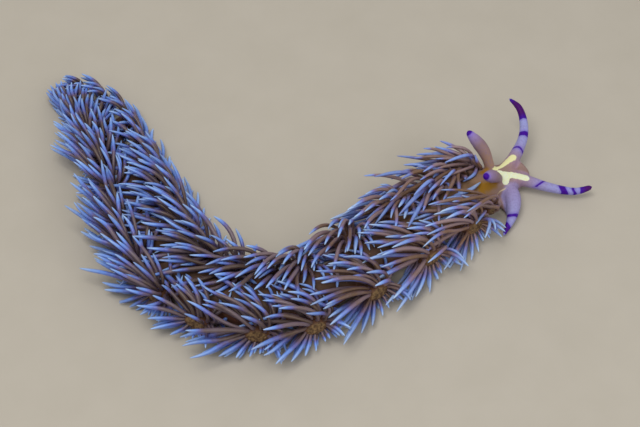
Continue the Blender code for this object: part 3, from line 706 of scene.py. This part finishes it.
def cerata_piece(name, cerata):
    """Cerata as one mesh, with what their colours follow and a UV map for the bake."""
    points, faces, uvs = [], [], []
    fields = {"blue": [], "facing_up_for_painted_light": [], "tone": [], "place": []}
    shape, corners = ceras_faces()
    share = np.append(np.repeat(CERAS_RINGS, CERAS_SIDES), 1.0)
    per_lobe = {}
    for ceras in cerata:
        per_lobe.setdefault(ceras.lobe.s, []).append(ceras)
    for order, (_, fan) in enumerate(sorted(per_lobe.items())):
        fan.sort(key=lambda ceras: (ceras.angle % (2 * math.pi), ceras.depth))
        for number, ceras in enumerate(fan):
            first = len(points)
            rings, facing_up_for_painted_light = ceras_rings(ceras)
            points.extend(rings.reshape(-1, 3))
            points.append(ceras.line[-1])
            blue = (share - ceras.blue_from) / (1 - ceras.blue_from)
            fields["blue"].extend(np.minimum(blue, ceras.blue_most))
            fields["facing_up_for_painted_light"].extend(np.append(facing_up_for_painted_light, TIP_FACING_UP_FOR_PAINTED_LIGHT))
            fields["tone"].extend(np.full(len(share), ceras.tone))
            fields["place"].extend(np.full(len(share), ceras.lobe.s / BODY.length))
            faces.extend([first + point for point in face] for face in shape)
            corner, size = patch(order, len(per_lobe), number)
            uvs.append(corner + size * corners)
    piece = mesh_piece(name, np.array(points), faces)
    add_fields(piece, fields)
    layer = piece.data.uv_layers.new(name="OFBake")
    layer.data.foreach_set("uv", np.concatenate(uvs).astype(np.float32).ravel())
    return piece


# Each ceras has a strip of the map. The strips of a lobe lie side by side in rows, in the order of the
# roots round the lobe, and the lobes from left to right in their order along the body.
PATCH_COLUMNS = 10
PATCH_ROWS = 10
PATCH_FILL = 0.88  # of a strip's share of the map, with the rest as a margin


def patch(order, lobes, number):
    """Lower left corner and size of one ceras's strip, by its lobe's place in order and its own."""
    full = np.array([1 / (lobes * PATCH_COLUMNS), 1 / PATCH_ROWS])
    row, column = divmod(number, PATCH_COLUMNS)
    place = np.array([order * PATCH_COLUMNS + column, row])
    return (place + (1 - PATCH_FILL) / 2) * full, PATCH_FILL * full


# The skin


def grid_faces(first, rows, sides):
    """Faces between rings of points, with a cap at each end."""
    faces = [tuple(first + i for i in reversed(range(sides)))]
    for row in range(rows - 1):
        for i in range(sides):
            a, b = first + row * sides + i, first + row * sides + (i + 1) % sides
            faces.append((a, b, b + sides, a + sides))
    faces.append(tuple(first + (rows - 1) * sides + i for i in range(sides)))
    return faces


def body_rings():
    count = round(BODY.length / BODY_STEP)
    return [BODY.ring(s) for s in np.linspace(FIRST_RING, BODY.length, count)]


def tube_rings(tube):
    """Rings of one organ, with a round end."""
    found = []
    angles = round_angles(ORGAN_SIDES)[:, None]
    end_radius = tube.radius(tube.length)
    for s in np.linspace(0, tube.length, round(tube.length / ORGAN_STEP)):
        _, side, up = tube.axes(s)
        left = (tube.length - s) / end_radius
        rounding = math.sqrt(max(BLUNTEST_END, 1 - (1 - left) ** 2)) if left < 1 else 1.0
        radius = (tube.radius(s) - SKIN_INSET / 2) * rounding
        found.append(tube.at(s) + radius * (np.cos(angles) * side + np.sin(angles) * up))
    return found


def lobe_rings(lobe):
    """Rings of one lobe, from inside the body to its end."""
    found = []
    for depth, share in LOBE_RINGS:
        ring = np.array([lobe.rim(a, depth, share) for a in round_angles(LOBE_SIDES)])
        ring[:, 2] = np.maximum(ring[:, 2], LOBE_LOWEST)
        found.append(ring)
    return found


def web_rings(web):
    """Rings of one web of skin."""
    web = np.array(web)
    shares = np.linspace(0, 1, len(web))
    return tube_rings(Tube(web[:, :3], np.column_stack([shares, web[:, 3]])))


def lip_rings(forward, left, height, half_sizes):
    """A rounded lobe of the lips, as rings from its rear to its front."""
    ahead, side = -BODY.onward(0.0), BODY.left(0.0)
    middle = np.array([*(BODY.at(0.0) + ahead * forward + side * left), height])
    axes = np.array([[*ahead, 0.0], [*side, 0.0], UP])
    angles = round_angles(LIP_SIDES)
    found = []
    for a in LIP_RINGS:
        ring = np.column_stack([
            np.full(LIP_SIDES, half_sizes[0] * math.sin(a)),
            half_sizes[1] * math.cos(a) * np.cos(angles),
            half_sizes[2] * math.cos(a) * np.sin(angles),
        ])
        found.append(middle + ring @ axes)
    return found


def in_scene(name, data):
    made = bpy.data.objects.new(name, data)
    bpy.context.scene.collection.objects.link(made)
    return made


def mesh_piece(name, points, faces, scale=MM):
    """A smoothly shaded mesh in the scene, from points in millimetres."""
    data = bpy.data.meshes.new(name)
    data.from_pydata((points * scale).tolist(), [], faces)
    data.update()
    data.shade_smooth()
    return in_scene(name, data)


def fused(parts):
    """One closed surface round all parts, in millimetres: its points and faces."""
    points, faces = [], []
    for rings in parts:
        faces.extend(grid_faces(len(points), len(rings), len(rings[0])))
        points.extend(np.concatenate(rings))
    rough = mesh_piece("rough", np.array(points), faces, scale=1.0)
    mesh = bmesh.new()
    mesh.from_mesh(rough.data)
    bmesh.ops.recalc_face_normals(mesh, faces=mesh.faces)
    mesh.to_mesh(rough.data)
    mesh.free()
    remesh = rough.modifiers.new("fuse", "REMESH")
    remesh.mode = "VOXEL"
    remesh.voxel_size = SKIN_VOXEL
    graph = bpy.context.evaluated_depsgraph_get()
    made = bpy.data.meshes.new_from_object(rough.evaluated_get(graph))
    bpy.data.objects.remove(rough)
    found = np.empty(len(made.vertices) * 3)
    made.vertices.foreach_get("co", found)
    edges = np.empty(len(made.edges) * 2, np.int64)
    made.edges.foreach_get("vertices", edges)
    faces = [tuple(face.vertices) for face in made.polygons]
    bpy.data.meshes.remove(made)
    return found.reshape(-1, 3), edges.reshape(-1, 2), faces


def relaxed(points, edges, weight, rounds):
    """Points drawn towards the middle of their neighbours by weight, in each round."""
    a, b = np.concatenate([edges, edges[:, ::-1]]).T
    count = np.maximum(np.bincount(a, minlength=len(points)), 1)
    for _ in range(rounds):
        middle = np.column_stack([np.bincount(a, points[b, i], len(points)) for i in range(3)])
        points = points + (middle / count[:, None] - points) * weight
    return points


def evened(points, edges, rounds):
    """Points smoothed without loss of volume."""
    for _ in range(rounds):
        points = relaxed(points, edges, SMOOTH_IN, 1)
        points = relaxed(points, edges, SMOOTH_OUT, 1)
    return points


class Places:
    """Where each point of the skin is: on the body, on an organ of the head, or on a lobe."""

    def __init__(self, points):
        self.points = points
        index, _, rise, _, tall = BODY.section(points)
        self.s, self.rise = BODY.along[index], rise / tall
        self.organs = {name: self.on_tube(tube) for name, tube in TUBES.items()}

    def on_tube(self, tube):
        """Along, to the side, up and out from one organ's line, and out as a share of its radius."""
        samples = np.linspace(0, tube.length, ORGAN_SAMPLES)
        line, radii = tube.at(samples), tube.radius(samples)
        axes = np.array([tube.axes(s) for s in samples])
        along = np.zeros(len(self.points))
        side, up, share = along.copy(), along.copy(), np.full(len(self.points), FAR_OFF)
        near = np.abs(self.points - line.mean(axis=0)).max(axis=1) < tube.length
        some = self.points[near]
        index = np.linalg.norm(some[:, None] - line[None], axis=2).argmin(axis=1)
        offset = some - line[index]
        along[near] = samples[index] + (offset * axes[index, 0]).sum(axis=1)
        side[near] = (offset * axes[index, 1]).sum(axis=1)
        up[near] = (offset * axes[index, 2]).sum(axis=1)
        share[near] = np.linalg.norm(offset, axis=1) / radii[index]
        return along, side, up, share

    def on_organ(self, name):
        """How far each point belongs to the organ, from 0 to 1."""
        along, _, _, share = self.organs[name]
        return fade(share, *ON_ORGAN) * fade(along, *PAST_HEAD)


# Marks of the head. Bars: organ, start and end along it, slant across it, arch, lowest place on it.
BARS = (
    ("oral_left", 4.56, 4.94, -0.1, 0.5, -0.1),
    ("oral_left", 7.05, 7.85, -0.12, 0.15, -9.0),
    ("oral_left", 10.0, 14.1, 0.0, 0.2, -9.0),
    ("oral_right", 5.85, 6.2, 0.75, 0.2, 0.2),
    ("oral_right", 8.6, 9.75, -0.45, -0.7, -9.0),
    ("oral_right", 10.6, 11.1, -0.15, -0.9, -9.0),
    ("oral_right", 12.0, 99.0, 0.1, 0.3, -9.0),
    ("foot_right", 6.8, 7.3, -0.35, 0.2, 0.0),
    ("foot_right", 8.4, 10.0, 0.6, 0.0, -9.0),
    ("foot_left", 5.2, 5.6, 0.3, 0.0, 0.0),
    ("foot_left", 6.4, 99.0, 0.1, 0.0, -9.0),
    ("rhino_left", 7.7, 99.0, 0.0, 0.0, -9.0),
    ("rhino_right", 6.74, 99.0, 0.0, 0.0, -9.0),
)

# Cream marks: x, y, height and half width down each
STRAW = (
    (33.3, 23.6, 4.0, 0.34), (34.2, 24.4, 3.85, 0.42), (35.0, 25.1, 3.7, 0.46),
    (35.8, 25.75, 3.65, 0.5), (36.4, 26.2, 3.6, 0.52),
)
CREAM = (
    STRAW,
    ((34.3, 22.9, 3.8, 0.7), (34.9, 22.5, 3.7, 0.95), (35.0, 21.9, 3.5, 0.7)),
    ((35.0, 22.8, 3.7, 0.7), (36.1, 23.1, 3.5, 0.58), (37.2, 22.9, 3.4, 0.58), (38.2, 22.7, 3.1, 0.52)),
)
HEAD_EDGE = (
    ((33.8, 19.8, 1.7, 0.05), (33.8, 19.9, 2.6, 0.09), (34.2, 20.3, 2.8, 0.11), (34.9, 20.9, 2.7, 0.1),
     (35.6, 21.6, 2.9, 0.05)),
)
OCHRE = (
    ((31.2, 20.3, 4.1, 0.7), (32.2, 20.3, 4.1, 0.9), (33.3, 20.7, 3.9, 0.6)),
    ((31.2, 20.3, 4.1, 0.7), (31.6, 19.4, 4.0, 0.6)),
    ((31.4, 23.0, 4.1, 0.4), (32.2, 23.4, 3.9, 0.5)),
    ((30.4, 19.2, 4.2, 0.35), (28.4, 18.0, 4.4, 0.3), (26.2, 16.6, 4.5, 0.3)),
)


def from_strokes(points, strokes):
    """Distance outside the nearest stroke, negative inside it."""
    found = np.full(len(points), NO_MARK)
    for stroke in strokes:
        stroke = np.array(stroke)
        for start, end in zip(stroke, stroke[1:]):
            share, offset = beside(points, start[:3], end[:3] - start[:3])
            width = start[3] + share * (end[3] - start[3])
            found = np.minimum(found, np.linalg.norm(offset, axis=1) - width)
    return found


def from_bars(places):
    """Distance outside the nearest purple bar or tip, negative inside it."""
    found = np.full(len(places.points), NO_MARK)
    for name, start, end, slant, arch, lowest in BARS:
        along, side, up, share = places.organs[name]
        along = along + slant * side + arch * side**2
        away = np.maximum(start - along, along - end)
        away = np.maximum(away, lowest - up)
        found = np.where(share < BAR_REACH, np.minimum(found, away), found)
    return found


# How lavender each organ is along its length: distance, share
LAVENDER = {
    "oral_left": ((1.0, 0.0), (3.0, 0.2), (4.5, 0.62), (6.0, 0.9), (9.0, 1.0)),
    "oral_right": ((1.0, 0.0), (3.5, 0.2), (5.0, 0.55), (7.5, 0.85), (10.0, 1.0)),
    "rhino_left": ((1.0, 0.0), (3.5, 0.12), (5.6, 0.3), (7.2, 0.8), (8.2, 1.0)),
    "rhino_right": ((1.0, 0.2), (4.5, 0.35), (6.0, 0.6), (6.9, 1.0)),
    "foot_left": ((0.5, 0.0), (2.0, 0.45), (5.0, 0.8), (7.5, 1.0)),
    "foot_right": ((0.5, 0.0), (2.0, 0.5), (6.0, 0.8), (9.0, 1.0)),
}


def skin_fields(points):
    """What the skin's colours follow, at each of its points."""
    places = Places(points)
    lavender, organ, rhino, on_lobe = np.zeros((4, len(points)))
    for name, steps in LAVENDER.items():
        along = places.organs[name][0]
        belongs = places.on_organ(name)
        lavender = np.maximum(lavender, belongs * np.interp(along, *np.transpose(steps)))
        organ = np.maximum(organ, belongs)
        if name.startswith("rhino"):
            rhino = np.maximum(rhino, belongs)
    spot = np.full(len(points), NO_SPOT)
    for lobe in LOBES:
        offset = (points - lobe.end) / lobe.size
        near = np.abs(offset).max(axis=1) < LOBE_WINDOW / lobe.size
        offset = offset[near]
        inward = -(offset @ lobe.axis)
        around = np.hypot(offset @ lobe.back / LOBE_HALF_LENGTH, offset @ lobe.up / LOBE_HALF_HEIGHT)
        inside = fade(around, *ON_LOBE) * fade(inward, LOBE_REACH, 0.0)
        on_lobe[near] = np.maximum(on_lobe[near], inside)
        reach = np.maximum(around - SPOT_SHARE, inward - SPOT_DEPTH)
        spot[near] = np.minimum(spot[near], reach * LOBE_HALF_HEIGHT * lobe.size)
    return {
        "body_s": places.s / BODY.length,
        "rise": places.rise,
        "organ": organ,
        "rhino": rhino,
        "lavender": lavender,
        "purple": from_bars(places),
        "cream": from_strokes(points, CREAM),
        "straw": from_strokes(points, (STRAW,)),
        "edge": from_strokes(points, HEAD_EDGE),
        "ochre": from_strokes(points, OCHRE),
        "lobe": on_lobe,
        "spot": spot,
    }


def add_fields(piece, fields):
    for name, values in fields.items():
        attribute = piece.data.attributes.new(name, "FLOAT", "POINT")
        attribute.data.foreach_set("value", np.asarray(values, np.float32))


def skin_piece():
    """The whole skin as one closed surface, with rounded joins between its parts."""
    parts = [body_rings()]
    parts.extend(tube_rings(tube) for tube in TUBES.values())
    parts.extend(web_rings(web) for web in WEBS)
    parts.extend(lobe_rings(lobe) for lobe in LOBES)
    parts.extend(lip_rings(*sizes) for sizes in LIPS)
    points, edges, faces = fused(parts)
    points = evened(points, edges, SMOOTH_ROUNDS)
    places = Places(points)
    join = np.zeros(len(points))
    for along, _, _, share in places.organs.values():
        join = np.maximum(join, fade(share, *ORGAN_JOIN) * fade(along, *ORGAN_JOIN_END))
    for lobe in LOBES:
        away = np.linalg.norm(points - lobe.root, axis=1) / lobe.size
        join = np.maximum(join, fade(away, *LOBE_JOIN))
    away = np.linalg.norm(points - [*BODY.at(0.0), LIPS[0][2]], axis=1)
    join = np.maximum(join, fade(away, *LIP_JOIN)) * fade(points[:, 2], *ABOVE_SOLE)
    points = relaxed(points, edges, SMOOTH_IN * join[:, None], FILLET_ROUNDS)
    points[:, 2] = np.maximum(points[:, 2], SKIN_LOWEST)
    piece = mesh_piece("skin", points, faces)
    add_fields(piece, skin_fields(points))
    return piece


# Materials


def srgb(red, green, blue):
    """A colour given as it shows on a screen, from 0 to 255, as Blender's linear values."""
    shown = [v / 255 for v in (red, green, blue)]
    return tuple(v / 12.92 if v <= 0.04045 else ((v + 0.055) / 1.055) ** 2.4 for v in shown) + (1.0,)


class Finish:
    """A material under construction, with short ways to add its nodes."""

    def __init__(self, name):
        self.material = bpy.data.materials.new(name)
        self.material.use_nodes = True
        self.tree = self.material.node_tree
        self.shader = self.tree.nodes["Principled BSDF"]
        self.place = self.tree.nodes.new("ShaderNodeTexCoord").outputs["Object"]

    def put(self, socket, value):
        """Give the socket a number, a colour as it shows, a node's output or, by its name, a field."""
        if isinstance(value, str):
            value = self.node("Attribute", attribute_name=value).outputs["Fac"]
        if isinstance(value, bpy.types.NodeSocket):
            self.tree.links.new(value, socket)
        else:
            socket.default_value = srgb(*value) if isinstance(value, tuple) else value

    def node(self, kind, *values, **settings):
        """A new node with these settings, and these values for its first sockets."""
        node = self.tree.nodes.new("ShaderNode" + kind)
        for name, setting in settings.items():
            setattr(node, name, setting)
        for socket, value in zip(node.inputs, values):
            self.put(socket, value)
        return node

    def fill(self, node, **values):
        """Give the node's sockets of these names their values."""
        for name, value in values.items():
            self.put(node.inputs[name.replace("_", " ")], value)

    def times(self, a, b, plus=0.0):
        """The product, with something added."""
        return self.node("Math", a, b, plus, operation="MULTIPLY_ADD").outputs[0]

    def spread(self, value, low, high, to_low=0.0, to_high=1.0):
        """The value from low to high, taken smoothly to the new range."""
        ends = (low, high, to_low, to_high)
        return self.node("MapRange", value, *ends, interpolation_type="SMOOTHSTEP").outputs[0]

    def blend(self, share, a, b, way="MIX"):
        node = self.node("Mix", data_type="RGBA", blend_type=way)
        self.fill(node, Factor=share)
        self.put(node.inputs[6], a)
        self.put(node.inputs[7], b)
        return node.outputs[2]

    def noise(self, grain, detail=3.0):
        """Noise whose grain is about this many millimetres across."""
        node = self.node("TexNoise")
        self.fill(node, Vector=self.place, Scale=1 / (grain * MM), Detail=detail, Roughness=0.55)
        return node.outputs["Fac"]

    def specks(self, pitch, size, share):
        """Small round specks: their pitch and size in millimetres, and the share of places with one."""
        cells = self.node("TexVoronoi")
        self.fill(cells, Vector=self.place, Scale=1 / (pitch * MM))
        near = self.spread(cells.outputs["Distance"], size / pitch, 0.6 * size / pitch)
        chance = self.node("SeparateColor", cells.outputs["Color"]).outputs[0]
        return self.times(near, self.node("Math", chance, share, operation="LESS_THAN").outputs[0])

    def ramp(self, value, *stops):
        """Colours along the value, each as its place with red, green and blue as they show."""
        node = self.node("ValToRGB", value)
        bar = node.color_ramp
        while len(bar.elements) < len(stops):
            bar.elements.new(0.5)
        for element, (at, *colour) in zip(bar.elements, stops):
            element.position = at
            element.color = srgb(*colour)
        return node.outputs[0]

    def bump(self, height, depth):
        """Bump from a height of 0 to 1 that stands for this depth in millimetres."""
        node = self.node("Bump")
        self.fill(node, Strength=1.0, Distance=depth * MM, Height=height)
        self.fill(self.shader, Normal=node.outputs[0])

    def set(self, **values):
        self.fill(self.shader, **values)


def cerata_finish():
    """Brown shafts under a violet sheath, with sky-blue ends; painted light makes the upper side of
    each paler, with more of the sheath, and painted shade makes its sides darker violet.
    """
    finish = Finish("cerata")
    blend, spread, times = finish.blend, finish.spread, finish.times
    mottle = finish.noise(0.9)
    # Painted light: the more a side of a ceras faces up, the paler it is drawn.
    painted_top_light = spread("facing_up_for_painted_light", -0.1, 0.95)
    rear = spread("place", 0.1, 0.5)
    warm = blend(mottle, (104, 72, 34), (150, 112, 62))
    dark = blend(mottle, (68, 51, 37), (108, 85, 64))
    shaft = blend(rear, warm, dark)
    sheath = blend(rear, (154, 134, 152), (114, 100, 120))
    veil = spread(times("tone", 0.9, finish.noise(1.6)), 0.6, 1.35)
    # Painted light: more of the pale sheath on the upper side of each ceras.
    veil = times(veil, 0.5, times(painted_top_light, 0.14))
    shaft = blend(veil, shaft, sheath)
    wander = times(mottle, 0.5, -0.25)
    blue = times(wander, 1.0, "blue")
    front = finish.ramp(
        blue, (0.0, 138, 118, 160), (0.2, 132, 136, 208), (0.45, 134, 170, 242), (1.0, 190, 220, 255)
    )
    behind = finish.ramp(
        blue, (0.0, 102, 86, 128), (0.2, 100, 112, 192), (0.45, 108, 154, 240), (1.0, 170, 206, 254)
    )
    distal = blend(rear, front, behind)
    # Painted shade: the sides of each ceras that face away from up are drawn darker violet.
    flank = blend(0.42, distal, (84, 86, 184))
    distal = blend(painted_top_light, flank, distal)
    colour = blend(spread(blue, -0.25, 0.2), shaft, distal)
    shade = blend("tone", (204, 200, 206), (255, 255, 255))
    colour = blend(0.8, colour, shade, "MULTIPLY")
    specks = finish.specks(0.6, 0.06, 0.25)
    colour = blend(times(specks, 0.5), colour, (186, 176, 186))
    finish.bump(finish.noise(0.2), 0.015)
    finish.set(
        Base_Color=colour,
        Roughness=0.45,
        Subsurface_Weight=0.15,
        Subsurface_Scale=0.0004,
        Sheen_Weight=0.32,
        Sheen_Tint=(144, 132, 226),
        Sheen_Roughness=0.35,
        Coat_Weight=0.15,
        Coat_Roughness=0.2,
    )
    finish.shader.inputs["Subsurface Radius"].default_value = (1.0, 0.7, 1.0)
    return finish.material


def skin_finish():
    """Rusty flanks and a dark back, and a mauve head with lavender tentacles and its marks."""
    finish = Finish("skin")
    blend, spread, times = finish.blend, finish.spread, finish.times
    mottle = finish.noise(1.3)
    fine = finish.noise(0.35)
    ragged = times(fine, 0.36, -0.18)
    top = spread("rise", 0.1, 0.8)
    rear = spread("body_s", 0.06, 0.28)
    back = blend(rear, (160, 128, 98), (92, 70, 56))
    flank = blend(rear, (156, 110, 78), (138, 92, 70))
    # Painted shade: the flanks are drawn darker towards the tail, in the gaps under the rear fans.
    flank = blend(spread("body_s", 0.5, 0.85), flank, (60, 42, 40))
    ground = blend(top, flank, back)
    ground = blend(mottle, ground, blend(0.5, ground, (50, 30, 24)))
    lobe = blend(mottle, (78, 48, 34), (112, 74, 50))
    spot = spread(times(ragged, 1.0, "spot"), 0.15, -0.15)
    olive = blend(spread(fine, 0.35, 0.65), (72, 52, 36), (132, 106, 72))
    head = blend(mottle, (132, 106, 96), (156, 130, 126))
    organ = finish.ramp(
        "lavender",
        (0.0, 168, 134, 142), (0.25, 154, 132, 156), (0.6, 152, 142, 190), (1.0, 152, 156, 214),
    )
    rhino = finish.ramp(
        "lavender",
        (0.0, 166, 132, 106), (0.3, 140, 115, 120), (0.75, 146, 126, 178), (1.0, 152, 134, 220),
    )
    organ = blend("rhino", organ, rhino)
    organ = blend(spread(fine, 0.42, 0.75, 0.0, 0.4), organ, (124, 104, 150))
    ochre = spread(times(ragged, 1.0, "ochre"), 0.35, -0.35)
    speckled = times(finish.specks(0.55, 0.07, 0.35), spread("body_s", 0.08, 0.2))
    cream = spread(times(ragged, 0.7, "cream"), 0.06, -0.06)
    pale = blend(spread(fine, 0.35, 0.65), (228, 232, 188), (226, 234, 210))
    pale = blend(spread("straw", 0.2, -0.1), pale, (228, 226, 172))
    purple = spread(times(ragged, 0.8, "purple"), 0.08, -0.12)
    deep = spread("purple", -0.1, -1.2)
    layers = (
        (spread("rise", -0.62, -0.9), (160, 136, 128)),
        (times("lobe", 0.75), lobe),
        (spot, olive),
        (spread("body_s", 0.085, 0.045), head),
        ("organ", organ),
        (times(ochre, 0.9), (150, 108, 12)),
        (times(speckled, 0.7), (186, 146, 118)),
        (cream, pale),
        (spread("edge", 0.05, -0.05), (214, 196, 156)),
        (times(spread("purple", 0.5, 0.0), 0.35), (104, 70, 200)),
        (purple, blend(deep, (62, 0, 150), (70, 0, 102))),
    )
    for share, over in layers:
        ground = blend(share, ground, over)

    finish.bump(finish.noise(0.22, 4.0), 0.03)
    finish.set(
        Base_Color=ground,
        Roughness=0.5,
        Specular_IOR_Level=0.14,
        Subsurface_Weight=0.1,
        Subsurface_Scale=0.0003,
        Sheen_Weight=0.03,
        Sheen_Tint=(150, 120, 255),
        Coat_Weight=0.03,
        Coat_Roughness=0.25,
    )
    finish.shader.inputs["Subsurface Radius"].default_value = (1.0, 0.6, 0.8)
    return finish.material


def floor_finish():
    finish = Finish("floor")
    tone = finish.noise(9.0, 5.0)
    finish.set(
        Base_Color=finish.blend(tone, (179, 173, 161), (189, 183, 172)),
        Roughness=0.9,
    )
    return finish.material


# Stage, light and camera

TARGET = np.array([7.2, 18.3, 0.0])
CAMERA_ELEVATION = math.radians(52)
CAMERA_DISTANCE = 267.0
CAMERA_LENS, CAMERA_SENSOR = 100.0, 36.0
CAMERA_NEAREST = 0.005  # metres
FLOOR_REACH = 3000.0
WORLD_COLOUR, WORLD_STRENGTH = (1.0, 0.98, 0.95, 1.0), 0.5
LIGHTS = (  # name, place, size, power, colour
    ("key", (-60.0, -40.0, 330.0), 190.0, 0.52, (1.0, 0.97, 0.92)),
    ("fill", (190.0, -150.0, 170.0), 220.0, 0.18, (0.96, 0.98, 1.0)),
)


def add_floor():
    corners = FLOOR_REACH * np.array([(-1, -1, 0), (1, -1, 0), (1, 1, 0), (-1, 1, 0)])
    floor = mesh_piece("floor", corners, [(0, 1, 2, 3)])
    floor.data.materials.append(floor_finish())


def add_camera():
    data = bpy.data.cameras.new("camera")
    data.lens = CAMERA_LENS
    data.sensor_width = CAMERA_SENSOR
    data.clip_start = CAMERA_NEAREST
    camera = in_scene("camera", data)
    away = np.array([0.0, -math.cos(CAMERA_ELEVATION), math.sin(CAMERA_ELEVATION)])
    camera.location = Vector((TARGET + CAMERA_DISTANCE * away) * MM)
    camera.rotation_euler = (math.pi / 2 - CAMERA_ELEVATION, 0.0, 0.0)
    bpy.context.scene.camera = camera


def add_light(name, place, size, power, colour):
    """A square area light at this place, in millimetres, that faces the animal."""
    data = bpy.data.lights.new(name, "AREA")
    data.size = size * MM
    data.energy = power
    data.color = colour
    light = in_scene(name, data)
    light.location = Vector(place) * MM
    way = Vector(TARGET * MM) - light.location
    light.rotation_euler = way.to_track_quat("-Z", "Y").to_euler()


def add_world():
    world = bpy.data.worlds.new("studio")
    world.use_nodes = True
    background = world.node_tree.nodes["Background"]
    background.inputs["Color"].default_value = WORLD_COLOUR
    background.inputs["Strength"].default_value = WORLD_STRENGTH
    bpy.context.scene.world = world
    bpy.context.scene.view_settings.view_transform = "Standard"


def main():
    nodes = sorted(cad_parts)
    skin = skin_piece()
    skin.data.materials.append(skin_finish())
    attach(skin, "root")
    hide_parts(*nodes)
    finish = cerata_finish()
    for side, fan in grow_cerata().items():
        for part, start, end in CERATA_PARTS:
            some = [ceras for ceras in fan if start <= ceras.lobe.s < end]
            piece = cerata_piece(f"cerata_{'left' if side > 0 else 'right'}_{part}", some)
            piece.data.materials.append(finish)
            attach(piece, "root")
            print(piece.name, len(some), "cerata", len(piece.data.polygons), "faces")
    print("skin", len(skin.data.polygons), "faces")
    add_floor()
    add_camera()
    add_world()
    for light in LIGHTS:
        add_light(*light)


main()
